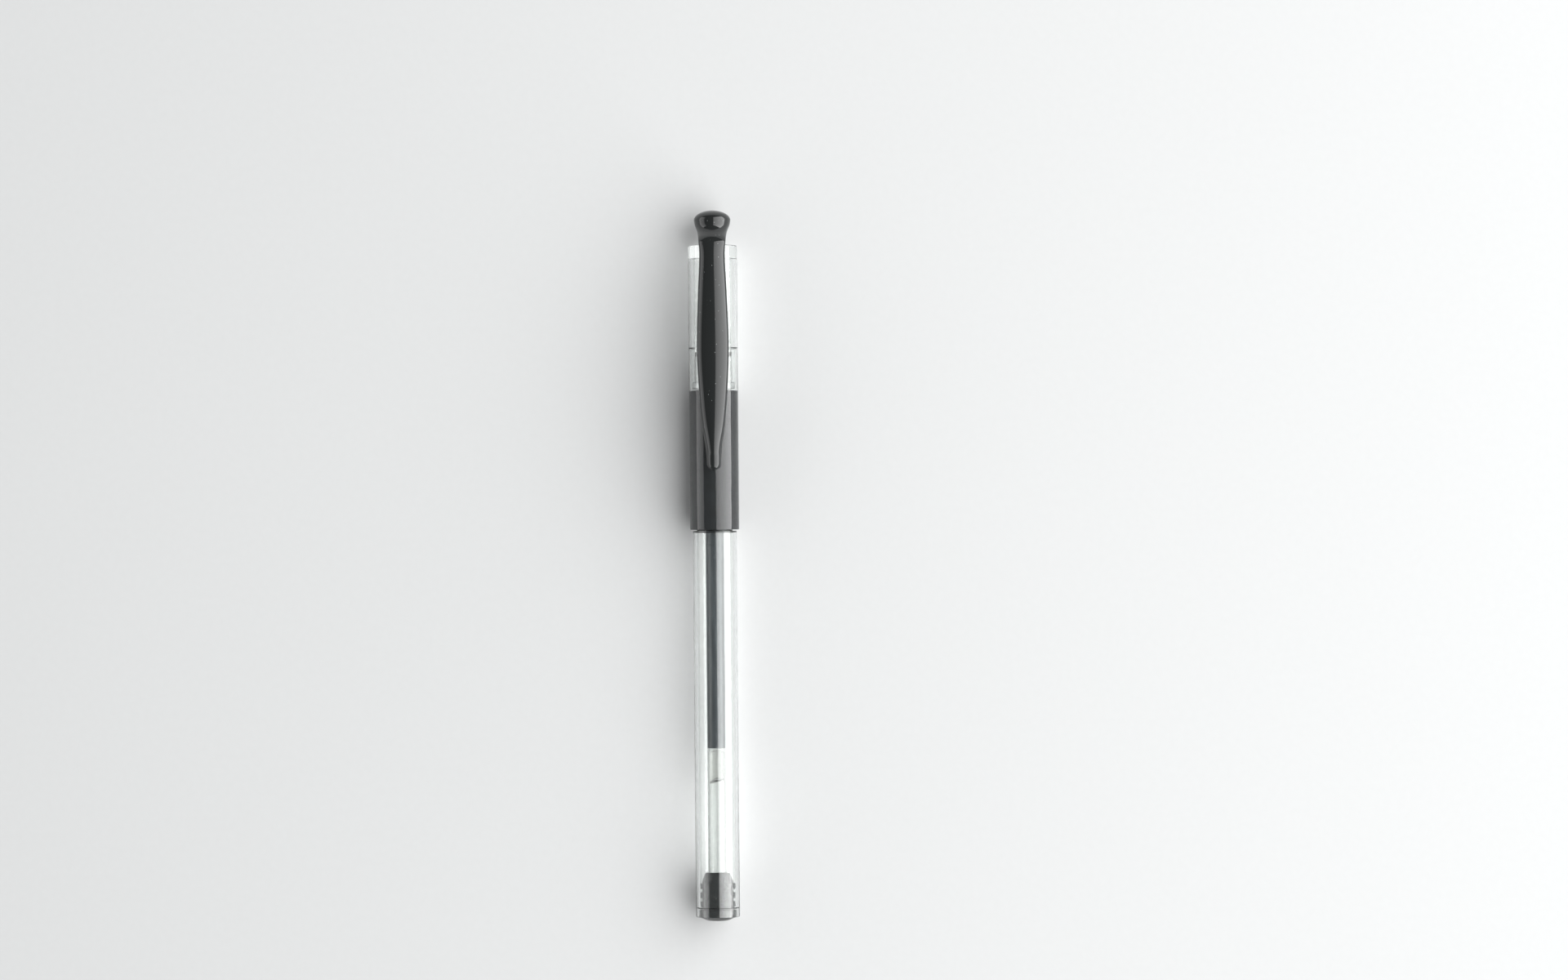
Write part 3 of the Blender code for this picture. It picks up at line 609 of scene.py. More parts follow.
def start_geometry(name, sizes):
    """Geometry tree with named size inputs, and its group input and output nodes."""
    tree = bpy.data.node_groups.new(name, "GeometryNodeTree")
    tree.interface.new_socket("Geometry", in_out="INPUT", socket_type="NodeSocketGeometry")
    for size_name, kind in sizes:
        tree.interface.new_socket(size_name, in_out="INPUT", socket_type=kind)
    tree.interface.new_socket("Geometry", in_out="OUTPUT", socket_type="NodeSocketGeometry")
    return tree, add(tree, "NodeGroupInput"), add(tree, "NodeGroupOutput")


def end_geometry(tree, output, geometry, material):
    """Realize the instances, give them their material and send them out."""
    solid = add(tree, "GeometryNodeRealizeInstances", {"Geometry": geometry})
    finished = add(tree, "GeometryNodeSetMaterial",
                   {"Geometry": solid.outputs["Geometry"], "Material": material})
    tree.links.new(finished.outputs["Geometry"], output.inputs["Geometry"])


def grow(piece, tree, sizes):
    """Run a geometry tree on a piece and keep its result as a plain mesh."""
    modifier = piece.modifiers.new(tree.name, "NODES")
    modifier.node_group = tree
    for socket in tree.interface.items_tree:
        if socket.in_out == "INPUT" and socket.name in sizes:
            modifier[socket.identifier] = sizes[socket.name]
    graph = bpy.context.evaluated_depsgraph_get()
    mesh = bpy.data.meshes.new_from_object(piece.evaluated_get(graph))
    piece.modifiers.remove(modifier)
    piece.data = mesh
    mesh.shade_smooth()
    mesh.set_sharp_from_angle(angle=math.radians(50))


def ringed_tree(material):
    """Presses shallow rings into the outer skin of a sleeve about the Y axis."""
    tree, given, output = start_geometry(
        "grip_rings", [("Pitch", "NodeSocketFloat"), ("Depth", "NodeSocketFloat"),
                       ("First Crest", "NodeSocketFloat"), ("Skin Radius", "NodeSocketFloat"),
                       ("Axis Height", "NodeSocketFloat")])
    spot = add(tree, "ShaderNodeSeparateXYZ",
               {"Vector": add(tree, "GeometryNodeInputPosition").outputs["Position"]})
    rise = add(tree, "ShaderNodeMath", {0: spot.outputs["Z"], 1: given.outputs["Axis Height"]},
               operation="SUBTRACT")
    outward = add(tree, "ShaderNodeCombineXYZ",
                  {"X": spot.outputs["X"], "Z": rise.outputs["Value"]})
    radius = add(tree, "ShaderNodeVectorMath", {0: outward.outputs["Vector"]}, operation="LENGTH")
    on_skin = add(tree, "FunctionNodeCompare",
                  {"A": radius.outputs["Value"], "B": given.outputs["Skin Radius"]},
                  operation="GREATER_THAN", data_type="FLOAT")
    past = add(tree, "ShaderNodeMath", {0: spot.outputs["Y"], 1: given.outputs["First Crest"]},
               operation="SUBTRACT")
    turns = add(tree, "ShaderNodeMath", {0: past.outputs["Value"], 1: given.outputs["Pitch"]},
                operation="DIVIDE")
    angle = add(tree, "ShaderNodeMath", {0: turns.outputs["Value"], 1: 2 * math.pi},
                operation="MULTIPLY")
    wave = add(tree, "ShaderNodeMath", {0: angle.outputs["Value"]}, operation="COSINE")
    sunk = add(tree, "ShaderNodeMath", {0: wave.outputs["Value"], 1: 0.5, 2: -0.5},
               operation="MULTIPLY_ADD")
    press = add(tree, "ShaderNodeMath", {0: sunk.outputs["Value"], 1: given.outputs["Depth"]},
                operation="MULTIPLY")
    direction = add(tree, "ShaderNodeVectorMath", {0: outward.outputs["Vector"]},
                    operation="NORMALIZE")
    inward = add(tree, "ShaderNodeVectorMath",
                 {0: direction.outputs["Vector"], "Scale": press.outputs["Value"]},
                 operation="SCALE")
    pressed = add(tree, "GeometryNodeSetPosition",
                  {"Geometry": given.outputs["Geometry"], "Selection": on_skin.outputs["Result"],
                   "Offset": inward.outputs["Vector"]})
    end_geometry(tree, output, pressed.outputs["Geometry"], material)
    return tree


def ribbed_tree(material):
    """Adds a row of rounded ribs round a plug that lies along Y."""
    tree, given, output = start_geometry(
        "plug_ribs", [("Count", "NodeSocketInt"), ("Pitch", "NodeSocketFloat"),
                      ("Rib Radius", "NodeSocketFloat"), ("Rib Width", "NodeSocketFloat"),
                      ("Rib Depth", "NodeSocketFloat"), ("First Rib", "NodeSocketFloat"),
                      ("Axis Height", "NodeSocketFloat")])
    half_depth = add(tree, "ShaderNodeMath", {0: given.outputs["Rib Depth"], 1: 0.5},
                     operation="MULTIPLY")
    middle = add(tree, "ShaderNodeMath",
                 {0: given.outputs["Rib Radius"], 1: half_depth.outputs["Value"]},
                 operation="SUBTRACT")
    hoop = add(tree, "GeometryNodeCurvePrimitiveCircle",
               {"Resolution": 96, "Radius": middle.outputs["Value"]})
    section = add(tree, "GeometryNodeCurvePrimitiveQuadrilateral",
                  {"Width": given.outputs["Rib Depth"], "Height": given.outputs["Rib Width"]})
    rounded = add(tree, "GeometryNodeFilletCurve",
                  {"Curve": section.outputs["Curve"], "Radius": 0.2 * MM,
                   "Count": 4, "Limit Radius": True}, mode="POLY")
    rib = add(tree, "GeometryNodeCurveToMesh",
              {"Curve": hoop.outputs["Curve"], "Profile Curve": rounded.outputs["Curve"]})
    laid = add(tree, "GeometryNodeTransform",
               {"Geometry": rib.outputs["Mesh"], "Rotation": (math.pi / 2, 0.0, 0.0)})
    start = add(tree, "ShaderNodeCombineXYZ",
                {"Y": given.outputs["First Rib"], "Z": given.outputs["Axis Height"]})
    step = add(tree, "ShaderNodeCombineXYZ", {"Y": given.outputs["Pitch"]})
    row = add(tree, "GeometryNodeMeshLine",
              {"Count": given.outputs["Count"], "Start Location": start.outputs["Vector"],
               "Offset": step.outputs["Vector"]})
    ribs = add(tree, "GeometryNodeInstanceOnPoints",
               {"Points": row.outputs["Mesh"], "Instance": laid.outputs["Geometry"]})
    joined = add(tree, "GeometryNodeJoinGeometry")
    tree.links.new(ribs.outputs["Instances"], joined.inputs["Geometry"])
    tree.links.new(given.outputs["Geometry"], joined.inputs["Geometry"])
    end_geometry(tree, output, joined.outputs["Geometry"], material)
    return tree


def thread_tree(material):
    """Winds a rounded thread round the spigot, along Y."""
    tree, given, output = start_geometry(
        "spigot_thread", [("Turns", "NodeSocketFloat"), ("Pitch", "NodeSocketFloat"),
                          ("Root Radius", "NodeSocketFloat"), ("Height", "NodeSocketFloat"),
                          ("Start", "NodeSocketFloat"), ("Axis Height", "NodeSocketFloat")])
    rise = add(tree, "ShaderNodeMath", {0: given.outputs["Turns"], 1: given.outputs["Pitch"]},
               operation="MULTIPLY")
    coil = add(tree, "GeometryNodeCurveSpiral",
               {"Resolution": 64, "Rotations": given.outputs["Turns"],
                "Start Radius": given.outputs["Root Radius"],
                "End Radius": given.outputs["Root Radius"], "Height": rise.outputs["Value"]})
    wire = add(tree, "GeometryNodeCurvePrimitiveCircle",
               {"Resolution": 8, "Radius": given.outputs["Height"]})
    ridge = add(tree, "GeometryNodeCurveToMesh",
                {"Curve": coil.outputs["Curve"], "Profile Curve": wire.outputs["Curve"],
                 "Fill Caps": True})
    spot = add(tree, "ShaderNodeCombineXYZ",
               {"Y": given.outputs["Start"], "Z": given.outputs["Axis Height"]})
    laid = add(tree, "GeometryNodeTransform",
               {"Geometry": ridge.outputs["Mesh"], "Translation": spot.outputs["Vector"],
                "Rotation": (math.pi / 2, 0.0, 0.0)})
    joined = add(tree, "GeometryNodeJoinGeometry")
    tree.links.new(laid.outputs["Geometry"], joined.inputs["Geometry"])
    tree.links.new(given.outputs["Geometry"], joined.inputs["Geometry"])
    end_geometry(tree, output, joined.outputs["Geometry"], material)
    return tree


# ---------------------------------------------------------------- pieces

class PENLOOK_OT_clear_barrel(bpy.types.Operator):
    """Build the clear barrel with its neck, spigot and thread"""
    bl_idname = "penlook.clear_barrel"
    bl_label = "Clear barrel"

    def execute(self, context):
        sizes = context.scene.pen_sizes
        neck = sizes.neck_bore + sizes.neck_wall
        spigot = sizes.neck_bore + sizes.spigot_wall
        neck_front = GRIP_FRONT - sizes.seat
        shoulder = GRIP_REAR + sizes.seat
        bore = BARREL_RADIUS - sizes.barrel_wall
        counterbore = PLUG_RADIUS + PLUG_CLEARANCE
        counterbore_front = PLUG_REAR - sizes.plug_flange - sizes.seat
        outline = [(BARREL_FRONT, sizes.neck_bore), (BARREL_FRONT, spigot),
                   (neck_front, spigot), (neck_front, neck), (shoulder, neck),
                   (shoulder, BARREL_RADIUS), (BARREL_REAR, BARREL_RADIUS),
                   (BARREL_REAR, counterbore), (counterbore_front, counterbore),
                   (counterbore_front, bore), (shoulder + BORE_CONE[1], bore),
                   (shoulder - BORE_CONE[0], sizes.neck_bore)]
        material = finish(context, clear_polystyrene)
        barrel = turned("clear_barrel", soften(outline, sizes.edge), material)
        grow(barrel, thread_tree(material),
             {"Turns": float(sizes.thread_turns), "Pitch": sizes.thread_pitch,
              "Root Radius": spigot - SUNK_IN, "Height": sizes.thread_height,
              "Start": along(BARREL_FRONT + THREAD_SETBACK), "Axis Height": AXIS_HEIGHT})
        place(barrel, "barrel", "clear_plastic", "barrel")
        return {"FINISHED"}


class PENLOOK_OT_grip_sleeve(bpy.types.Operator):
    """Build the rubber grip with its shallow rings"""
    bl_idname = "penlook.grip_sleeve"
    bl_label = "Grip sleeve"

    def execute(self, context):
        sizes = context.scene.pen_sizes
        bore = GRIP_RADIUS - sizes.grip_wall
        crest = GRIP_RADIUS + sizes.grip_press
        end_round = 0.25 * MM
        skin = [(station, crest) for station in
                steps_between(GRIP_FRONT + end_round, GRIP_REAR - end_round, 12 * sizes.grip_rings)]
        corners = soften([(GRIP_FRONT, bore), (GRIP_FRONT, crest),
                          (GRIP_REAR, crest), (GRIP_REAR, bore)], end_round)
        front_corner, rear_corner = corners[5:10], corners[10:15]
        outline = corners[:5] + front_corner + skin[1:-1] + rear_corner + corners[15:]
        material = finish(context, grip_rubber)
        sleeve = turned("grip_sleeve", outline, material)
        pitch = (GRIP_REAR - GRIP_FRONT) / sizes.grip_rings
        grow(sleeve, ringed_tree(material),
             {"Pitch": pitch, "Depth": sizes.grip_ring_depth,
              "First Crest": along(GRIP_FRONT + pitch / 2), "Skin Radius": crest - SUNK_IN,
              "Axis Height": AXIS_HEIGHT})
        place(sleeve, "barrel", "grip_rubber", "rubber_grip")
        return {"FINISHED"}


class PENLOOK_OT_ribbed_plug(bpy.types.Operator):
    """Build the ribbed plug that closes the barrel"""
    bl_idname = "penlook.ribbed_plug"
    bl_label = "Ribbed plug"

    def execute(self, context):
        sizes = context.scene.pen_sizes
        flange_front = PLUG_REAR - sizes.plug_flange
        socket = TUBE_RADIUS + SOCKET_CLEARANCE
        outline = [(PLUG_REAR, 0.0), (PLUG_REAR, PLUG_FLAT_SHARE * PLUG_RADIUS),
                   (PLUG_REAR - PLUG_DOME, PLUG_RADIUS),
                   (flange_front, PLUG_RADIUS), (flange_front, sizes.plug_body),
                   (PLUG_FRONT + PLUG_LEAD_IN, sizes.plug_body),
                   (PLUG_FRONT, socket + SOCKET_RIM), (PLUG_FRONT, socket),
                   (PLUG_FRONT + sizes.plug_socket, socket), (PLUG_FRONT + sizes.plug_socket, 0.0)]
        material = finish(context, scuffed_abs)
        plug = turned("ribbed_plug", soften(outline, PLUG_ROUND, closed=False), material,
                      closed=False)
        first = flange_front - sizes.plug_rib_width - (sizes.plug_ribs - 1) * sizes.plug_rib_pitch
        grow(plug, ribbed_tree(material),
             {"Count": sizes.plug_ribs, "Pitch": -sizes.plug_rib_pitch,
              "Rib Radius": sizes.plug_rib, "Rib Width": sizes.plug_rib_width,
              "Rib Depth": 2.0 * (sizes.plug_rib - sizes.plug_body), "First Rib": along(first),
              "Axis Height": AXIS_HEIGHT})
        place(plug, "barrel", "black_plastic", "end_plug")
        return {"FINISHED"}


class PENLOOK_OT_clear_nose_cone(bpy.types.Operator):
    """Build the clear nose cone with its collar"""
    bl_idname = "penlook.clear_nose_cone"
    bl_label = "Clear nose cone"

    def execute(self, context):
        sizes = context.scene.pen_sizes
        bore = sizes.neck_bore + sizes.spigot_wall + THREAD_CLEARANCE
        radius = bore + sizes.nose_wall
        collar_front = NOSE_REAR - sizes.collar
        seat = HOLDER_FRONT + SNOUT_LENGTH
        mouth_bore = POINT_RADIUS + POINT_GAP
        snout_bore = POINT_RADIUS + SNOUT_WALL + POINT_GAP
        cone_end = collar_front - COLLAR_FILLET
        cone = [(NOSE_FRONT, sizes.nose_mouth),
                (NOSE_FRONT + NOSE_HALFWAY, 0.5 * (sizes.nose_mouth + radius)),
                *((NOSE_FRONT + distance, radius - short) for distance, short in NOSE_TAPER),
                (cone_end, radius)]
        skin = [(station, eased(cone, station)) for station in
                steps_between(NOSE_FRONT + NOSE_LIP, cone_end, 40)]
        tail = [(collar_front, radius), (collar_front, COLLAR_RADIUS), (NOSE_REAR, COLLAR_RADIUS),
                (NOSE_REAR, bore), (BARREL_FRONT - sizes.seat, bore),
                (BARREL_FRONT - sizes.seat - NOSE_LEAD_IN, sizes.neck_bore), (seat, sizes.neck_bore),
                (seat, snout_bore), (HOLDER_FRONT - sizes.seat, snout_bore),
                (NOSE_FRONT + NOSE_THROAT, mouth_bore), (NOSE_FRONT, mouth_bore),
                (NOSE_FRONT, sizes.nose_mouth)]
        nose = turned("clear_nose_cone", skin + soften(tail, sizes.edge),
                      finish(context, clear_polystyrene))
        place(nose, "front", "clear_plastic", "nose_cone")
        return {"FINISHED"}


class PENLOOK_OT_refill(bpy.types.Operator):
    """Build the ink tube with its ink and grease"""
    bl_idname = "penlook.refill"
    bl_label = "Refill"

    def execute(self, context):
        sizes = context.scene.pen_sizes
        bore = TUBE_RADIUS - sizes.tube_wall
        tube = turned("ink_tube", soften([(TUBE_FRONT, bore), (TUBE_FRONT, TUBE_RADIUS),
                                          (TUBE_REAR, TUBE_RADIUS), (TUBE_REAR, bore)],
                                         TUBE_ROUND), finish(context, extruded_polypropylene),
                      sides=72)
        place(tube, "front", "refill_plastic", "refill_tube")

        wet = bore + SUNK_IN
        holder_end = HOLDER_REAR + sizes.seat
        ink_outline = soften([(INK_FRONT, 0.0), (INK_FRONT, INK_CORE), (holder_end, INK_CORE),
                              (holder_end, wet), (INK_REAR, wet)], INK_ROUND, closed=False)
        ink_outline += [(INK_REAR - MENISCUS * (1.0 - share ** 2), wet * share)
                        for share in (0.92, 0.75, 0.5, 0.25, 0.0)]
        ink = turned("gel_ink", ink_outline, finish(context, gel_ink_finish), closed=False,
                     sides=72)
        place(ink, "front", "gel_ink", "ink_column")

        film = bore - GREASE_FILM
        front_bulge = [(GREASE_FRONT + MENISCUS * share ** 2, film * share)
                       for share in (0.0, 0.25, 0.5, 0.75, 0.95)]
        rear_hollow = [(GREASE_REAR - 2 * MENISCUS * (1.0 - share ** 2), film * share)
                       for share in (0.97, 0.75, 0.5, 0.25, 0.0)]
        grease = turned("grease_slug", front_bulge + rear_hollow, finish(context, silicone_grease),
                        closed=False, sides=72)
        for vert in grease.data.vertices:
            if DOME_TOP - vert.co.y > (GREASE_FRONT + GREASE_REAR) / 2:
                vert.co.y += sizes.grease_slant * (vert.co.x / film - 1.0) / 2
        place(grease, "front", "grease", "grease_follower")
        return {"FINISHED"}


class PENLOOK_OT_writing_point(bpy.types.Operator):
    """Build the point holder, the metal point and its ball"""
    bl_idname = "penlook.writing_point"
    bl_label = "Writing point"

    def execute(self, context):
        sizes = context.scene.pen_sizes
        socket = POINT_RADIUS + PRESS_FIT
        snout = POINT_RADIUS + SNOUT_WALL
        flange_front = HOLDER_FRONT + SNOUT_LENGTH + sizes.seat
        flange_rear = flange_front + FLANGE_LENGTH
        waist = HOLDER_RADIUS - WAIST_STEP
        shoulder = TUBE_FRONT - HOLDER_SHOULDER
        plug = TUBE_RADIUS - sizes.tube_wall - HOLDER_CLEARANCE
        shank_end = POINT_REAR + sizes.seat / 2
        outline = [(HOLDER_FRONT, socket), (HOLDER_FRONT, snout), (flange_front, snout),
                   (flange_front, HOLDER_RADIUS), (flange_rear, HOLDER_RADIUS),
                   (flange_rear, waist), (shoulder, waist), (shoulder, HOLDER_RADIUS),
                   (TUBE_FRONT - sizes.seat, HOLDER_RADIUS), (TUBE_FRONT - sizes.seat, plug),
                   (HOLDER_REAR, plug), (HOLDER_REAR, HOLDER_CORE), (shank_end, HOLDER_CORE),
                   (shank_end, socket)]
        holder = turned("point_holder", soften(outline, HOLDER_ROUND),
                        finish(context, extruded_polypropylene), sides=72)
        place(holder, "front", "refill_plastic", "tip_adapter")

        middle = (BALL_FRONT + BALL_REAR) / 2
        cup = BALL_RADIUS + BALL_CLEARANCE
        lip = BALL_LIP_SHARE * cup
        lip_angle = math.asin(lip / cup)
        seat = [(middle - cup * math.cos(angle), cup * math.sin(angle)) for angle in
                steps_between(math.pi, lip_angle, 12)]
        seat[0] = (middle + cup, 0.0)
        body = soften([(middle - cup * math.cos(lip_angle), lip + BALL_LIP_WALL),
                       (POINT_FRONT + TIP_LENGTH, TIP_RADIUS),
                       (POINT_FRONT + NECK_LENGTH, NECK_RADIUS),
                       (HOLDER_FRONT - TAPER_GAP, POINT_RADIUS), (POINT_REAR, POINT_RADIUS),
                       (POINT_REAR, 0.0)], POINT_ROUND, closed=False)
        point = turned("writing_point", seat + body, finish(context, nickel_silver), closed=False,
                       sides=64)
        place(point, "front", "point_metal", "tip_point")

        ball_outline = [(middle - BALL_RADIUS * math.cos(angle), BALL_RADIUS * math.sin(angle))
                        for angle in steps_between(0.0, math.pi, 24)]
        ball_outline[0], ball_outline[-1] = (middle - BALL_RADIUS, 0.0), (middle + BALL_RADIUS, 0.0)
        ball = turned("carbide_ball", ball_outline, finish(context, tungsten_carbide),
                      closed=False, sides=48)
        place(ball, "front", "point_metal", "writing_ball")
        return {"FINISHED"}


class PENLOOK_OT_clear_cap(bpy.types.Operator):
    """Build the clear cap and the seal inside it"""
    bl_idname = "penlook.clear_cap"
    bl_label = "Clear cap"

    def execute(self, context):
        sizes = context.scene.pen_sizes
        bore = CAP_RADIUS - sizes.cap_wall
        small_bore = sizes.neck_bore + sizes.spigot_wall + sizes.nose_wall + CAP_NOSE_GAP
        floor = CAP_FRONT + sizes.cap_end_wall
        step = CAP_REAR - sizes.cap_wide_bore
        seal_bore = SEAL_RADIUS + SEAL_CLEARANCE
        ring = seal_bore + SEAL_RING_WALL
        ring_rear = floor + sizes.seal_ring
        peg_floor = HEAD_REAR + PEG_GAP
        crown = soften([(CAP_FRONT, PEG_HOLE), (CAP_FRONT, CAP_RADIUS),
                        (CAP_REAR, CAP_RADIUS)], sizes.cap_edge, closed=False, steps=8)[:-1]
        skirt = soften([(CAP_REAR - MOUTH_BAND, CAP_RADIUS), (CAP_REAR, CAP_RADIUS),
                        (CAP_REAR, bore), (step, bore), (step, small_bore),
                        (floor, small_bore),
                        (floor, ring), (ring_rear, ring), (ring_rear, seal_bore),
                        (floor, seal_bore), (floor, 0.0)], CAP_ROUND, closed=False)
        hole = [(peg_floor, 0.0), (peg_floor, PEG_HOLE)]
        cap = turned("clear_cap", hole + crown + skirt, finish(context, clear_cap_polystyrene),
                     closed=False)
        place(cap, "cap", "clear_plastic", "cap_tube")

        seal_outline = soften([(SEAL_FRONT, 0.0), (SEAL_FRONT, SEAL_RADIUS),
                               (SEAL_REAR, SEAL_RADIUS), (SEAL_REAR, 0.0)], SEAL_ROUND,
                              closed=False)
        seal = turned("tip_seal_plug", seal_outline, finish(context, silicone_seal), closed=False,
                      sides=72)
        place(seal, "cap", "seal_rubber", "tip_seal")
        return {"FINISHED"}


def section_ring(station, half_width, low, level, high, flatness, crown, count=64):
    """Closed ring across the clip: a crowned upper half over a flatter lower half."""
    ring = []
    for i in range(count):
        angle = 2 * math.pi * i / count
        across, up = math.sin(angle), math.cos(angle)
        power = 2.0 / (crown if up > 0 else flatness)
        reach = (high - level) if up > 0 else (level - low)
        ring.append((half_width * math.copysign(abs(across) ** power, across), along(station),
                     level + reach * math.copysign(abs(up) ** power, up)))
    return ring


class PENLOOK_OT_clip_moulding(bpy.types.Operator):
    """Build the button, the sprung clip and its foot as the one moulding they are"""
    bl_idname = "penlook.clip_moulding"
    bl_label = "Clip moulding"

    def execute(self, context):
        sizes = context.scene.pen_sizes
        neck, root = sizes.neck_width / 2, sizes.root_width / 2
        arm_top = CLIP_TOP
        underside = arm_top - sizes.clip_thickness
        head_end = HEAD_FRONT + HEAD_LENGTH
        rings = []
        for angle in steps_between(math.radians(3), math.radians(90), 14):
            radius = HEAD_RADIUS * math.sin(angle)
            rings.append(section_ring(HEAD_FRONT + sizes.dome * (1.0 - math.cos(angle)), radius,
                                      AXIS_HEIGHT - radius, AXIS_HEIGHT, AXIS_HEIGHT + radius,
                                      2.0, 2.0))
        widths = [(sizes.dome, HEAD_RADIUS), (3.1 * MM, HEAD_RADIUS - 0.18 * MM),
                  (4.7 * MM, neck), (7.4 * MM, root),
                  (10.0 * MM, sizes.waist_width / 2), (17.8 * MM, 3.05 * MM),
                  (29.8 * MM, CLIP_HALF_WIDTH), (38.8 * MM, 2.95 * MM), (45.4 * MM, 2.4 * MM),
                  (49.7 * MM, 1.8 * MM), (52.3 * MM, sizes.tip_width / 2),
                  (CLIP_REAR, sizes.tip_width / 2)]
        edge = sizes.clip_edge
        foot_start = CLIP_REAR - sizes.foot_length
        tops = [(sizes.dome, AXIS_HEIGHT + HEAD_RADIUS),
                (3.3 * MM, AXIS_HEIGHT + HEAD_RADIUS + 0.1 * MM), (4.6 * MM, arm_top - 2.7 * MM),
                (5.9 * MM, arm_top - 1.1 * MM), (7.4 * MM, arm_top - 0.3 * MM),
                (9.5 * MM, arm_top - 0.03 * MM), (13.0 * MM, arm_top),
                (foot_start - 3.0 * MM, arm_top), (foot_start - 0.6 * MM, arm_top - 0.12 * MM),
                (foot_start + 0.6 * MM, arm_top - sizes.foot_drop),
                (CLIP_REAR - 1.5 * MM, arm_top - sizes.foot_drop - 0.05 * MM),
                (CLIP_REAR, arm_top - sizes.foot_drop - 0.2 * MM)]
        for station in steps_between(sizes.dome, head_end, 26)[1:]:
            t = min(max((station - HEAD_BLEND_START) / (head_end - HEAD_BLEND_START), 0.0), 1.0)
            arm_like = t * t * (3.0 - 2.0 * t)
            half = eased(widths, station)
            level = AXIS_HEIGHT + (underside + edge - AXIS_HEIGHT) * arm_like
            rings.append(section_ring(station, half, AXIS_HEIGHT - half, level,
                                      min(eased(tops, station), arm_top),
                                      2.0 + 1.5 * arm_like, 2.0))
        foot_round = sizes.tip_width / 2
        bottoms = [(head_end, underside), (ARM_FLAT_END, underside),
                   (foot_start, underside - 0.55 * MM), (CLIP_REAR, underside - 0.6 * MM)]
        stations = steps_between(head_end + 0.04 * MM, ARM_SETTLED, 16)
        stations += steps_between(ARM_SETTLED, foot_start - 1.2 * MM, 60)[1:]
        stations += steps_between(foot_start - 1.2 * MM, CLIP_REAR - foot_round, 16)[1:]
        stations += [CLIP_REAR - foot_round * (1.0 - math.sin(math.radians(angle)))
                     for angle in (15, 30, 45, 58, 70, 79, 86)]
        for station in stations:
            past = max(0.0, station - (CLIP_REAR - foot_round)) / foot_round
            shrink = math.sqrt(max(1.0 - past ** 2, 0.0))
            high, low = min(eased(tops, station), arm_top), eased(bottoms, station)
            level = low + edge
            middle = low + 0.45 * (high - low)
            rings.append(section_ring(station, eased(widths, station) * shrink,
                                      middle - (middle - low) * shrink,
                                      middle + (level - middle) * shrink,
                                      middle + (high - middle) * shrink, 6.0, 2.0))
        clip = lofted("clip_moulding", rings, finish(context, gloss_abs), crease=60.0)
        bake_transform(clip)
        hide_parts("clip_head", "clip_arm")
        return {"FINISHED"}


# ---------------------------------------------------------------- stage

def softbox(name, upper, lower, reach, radiance, top_share):
    """Long softbox beside the pen; its upper and lower edges are (across, height).

    It glows evenly along its length and dims towards its upper edge, to a share of its radiance.
    """
    light = bpy.data.lights.new(name, "AREA")
    light.shape = "RECTANGLE"
    across, height = lower[0] - upper[0], lower[1] - upper[1]
    light.size = math.hypot(across, height)
    light.size_y = reach
    light.energy = radiance * math.pi * light.size * light.size_y
    light.use_nodes = True
    tree = light.node_tree
    tree.nodes.clear()
    spot = add(tree, "ShaderNodeSeparateXYZ",
               {"Vector": add(tree, "ShaderNodeNewGeometry").outputs["Parametric"]})
    flip = upper[0] < 0
    glow = add(tree, "ShaderNodeMapRange",
               {"Value": spot.outputs["X"], "To Min": 1.0 if flip else top_share,
                "To Max": top_share if flip else 1.0})
    lit = add(tree, "ShaderNodeEmission", {"Strength": glow.outputs["Result"]})
    add(tree, "ShaderNodeOutputLight", {"Surface": lit.outputs["Emission"]})
    lamp = bpy.data.objects.new(name, light)
    bpy.context.scene.collection.objects.link(lamp)
    middle = Vector(((upper[0] + lower[0]) / 2, 0.0, (upper[1] + lower[1]) / 2))
    backward = Vector((across, 0.0, height)).normalized().cross(Vector((0.0, 1.0, 0.0)))
    if backward.dot(middle) < 0:
        backward = -backward
    pen_way = Vector((0.0, 1.0, 0.0))
    lamp.matrix_world = Matrix.LocRotScale(
        middle, Matrix((pen_way.cross(backward), pen_way, backward)).transposed(), None)
    lamp.visible_camera = False


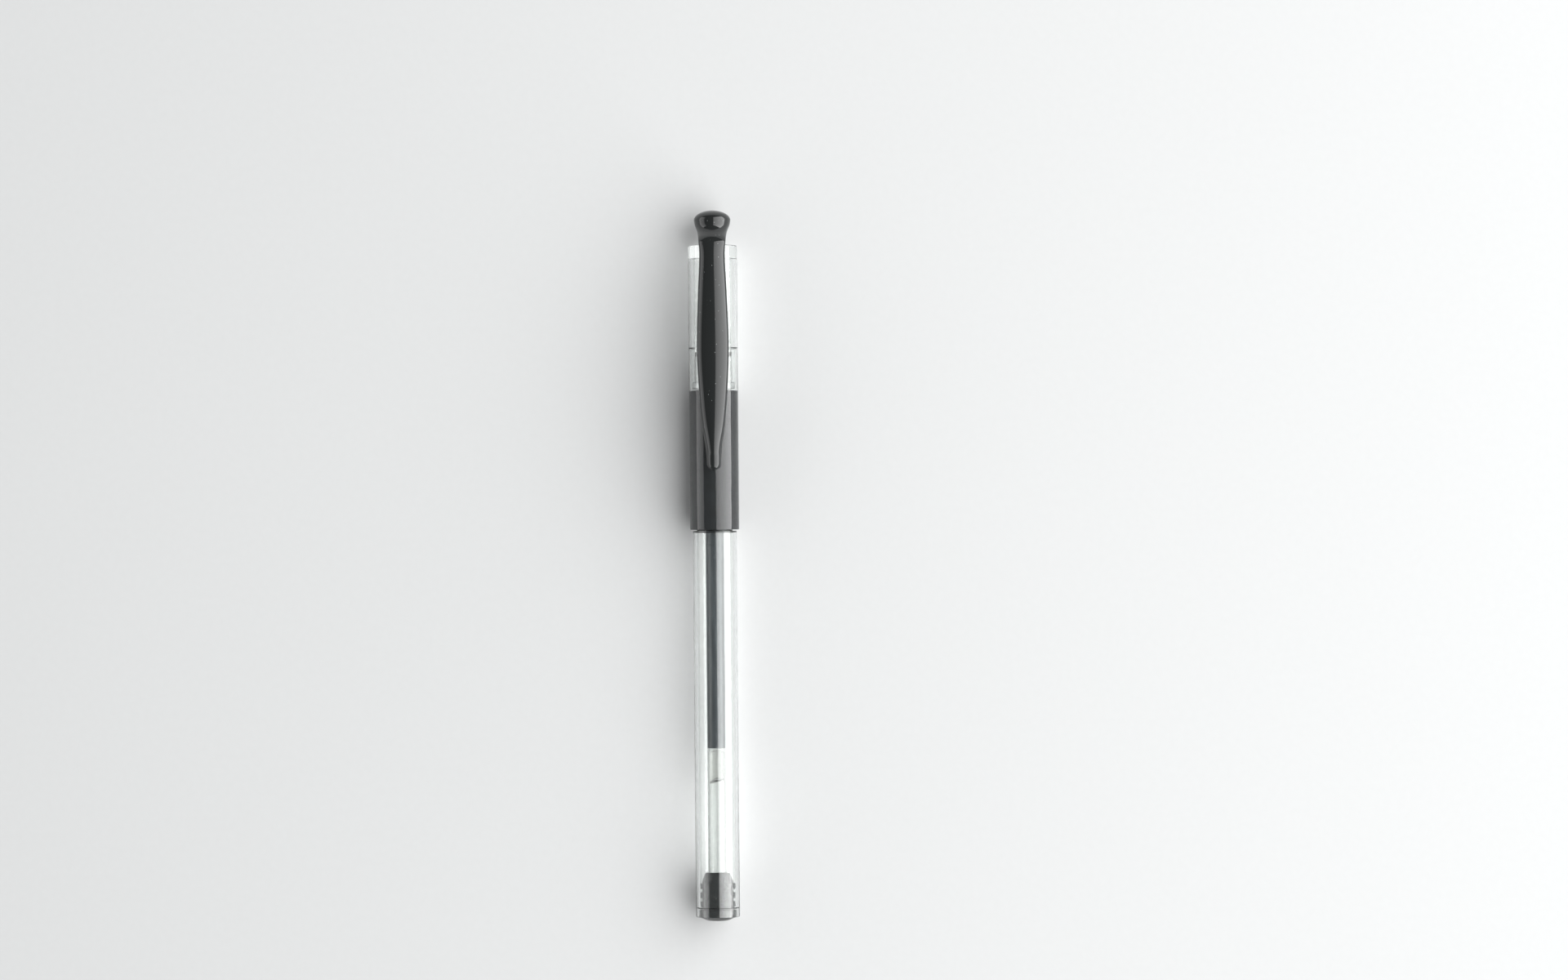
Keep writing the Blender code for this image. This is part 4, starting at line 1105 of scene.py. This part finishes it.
class PENLOOK_OT_stage(bpy.types.Operator):
    """Build the floor, the light and the camera"""
    bl_idname = "penlook.stage"
    bl_label = "Stage"

    def execute(self, context):
        stage = context.scene.pen_stage
        scene = context.scene
        scene.view_settings.view_transform = "Standard"

        mesh_data = bmesh.new()
        bmesh.ops.create_grid(mesh_data, x_segments=1, y_segments=1, size=FLOOR_HALF)
        mesh = bpy.data.meshes.new("paper_floor")
        mesh_data.to_mesh(mesh)
        mesh_data.free()
        mesh.materials.append(finish(context, uncoated_paper))
        floor = bpy.data.objects.new("paper_floor", mesh)
        scene.collection.objects.link(floor)

        softbox("right_softbox", *RIGHT_SOFTBOX, SOFTBOX_REACH, stage.right_glow, 0.3)
        softbox("left_softbox", *LEFT_SOFTBOX, SOFTBOX_REACH, stage.left_glow, 0.4)

        world = bpy.data.worlds.new("dim_room")
        world.use_nodes = True
        tree = world.node_tree
        tree.nodes.clear()
        ray = add(tree, "ShaderNodeLightPath")
        room = add(tree, "ShaderNodeBackground",
                   {"Color": (*linear("#f4f6f7"), 1.0), "Strength": stage.room_glow})
        backdrop = add(tree, "ShaderNodeBackground",
                       {"Color": (*linear("#e9eaea"), 1.0), "Strength": 1.0})
        seen = add(tree, "ShaderNodeMixShader", {"Fac": ray.outputs["Is Camera Ray"]})
        tree.links.new(room.outputs["Background"], seen.inputs[1])
        tree.links.new(backdrop.outputs["Background"], seen.inputs[2])
        sky = add(tree, "ShaderNodeOutputWorld", {"Surface": seen.outputs["Shader"]})
        sky.is_active_output = True
        scene.world = world

        data = bpy.data.cameras.new("overhead")
        data.lens = stage.lens
        data.sensor_width = SENSOR_WIDTH
        camera = bpy.data.objects.new("overhead", data)
        scene.collection.objects.link(camera)
        height = stage.view_width * data.lens / data.sensor_width
        camera.location = (stage.view_aside, along(PEN_MIDDLE) + stage.view_along,
                           AXIS_HEIGHT + height)
        camera.rotation_euler = (0.0, 0.0, -stage.lean)
        data.clip_end = VIEW_DEPTH
        scene.camera = camera
        return {"FINISHED"}


# ---------------------------------------------------------------- panel

PIECES = (PENLOOK_OT_clear_barrel, PENLOOK_OT_grip_sleeve, PENLOOK_OT_ribbed_plug,
          PENLOOK_OT_clear_nose_cone, PENLOOK_OT_refill, PENLOOK_OT_writing_point,
          PENLOOK_OT_clear_cap, PENLOOK_OT_clip_moulding, PENLOOK_OT_stage)


class PENLOOK_PT_pieces(bpy.types.Panel):
    """Sizes, colours and pieces of the marking pen"""
    bl_label = "Marking Pen"
    bl_space_type = "VIEW_3D"
    bl_region_type = "UI"
    bl_category = "Marking Pen"

    def draw(self, context):
        for operator in PIECES:
            self.layout.operator(operator.bl_idname)
        for group in (context.scene.pen_sizes, context.scene.pen_colours,
                      context.scene.pen_stage):
            column = self.layout.column(align=True)
            for name in group.__annotations__:
                column.prop(group, name)


CLASSES = (PenSizes, PenColours, PenStage, *PIECES, PENLOOK_PT_pieces)


def register():
    for item in CLASSES:
        bpy.utils.register_class(item)
    bpy.types.Scene.pen_sizes = PointerProperty(type=PenSizes)
    bpy.types.Scene.pen_colours = PointerProperty(type=PenColours)
    bpy.types.Scene.pen_stage = PointerProperty(type=PenStage)


def unregister():
    del bpy.types.Scene.pen_stage
    del bpy.types.Scene.pen_colours
    del bpy.types.Scene.pen_sizes
    for item in reversed(CLASSES):
        bpy.utils.unregister_class(item)


def main():
    """Register the classes and build every piece."""
    register()
    for operator in PIECES:
        group, action = operator.bl_idname.split(".")
        getattr(getattr(bpy.ops, group), action)()


if __name__ == "__main__":
    main()
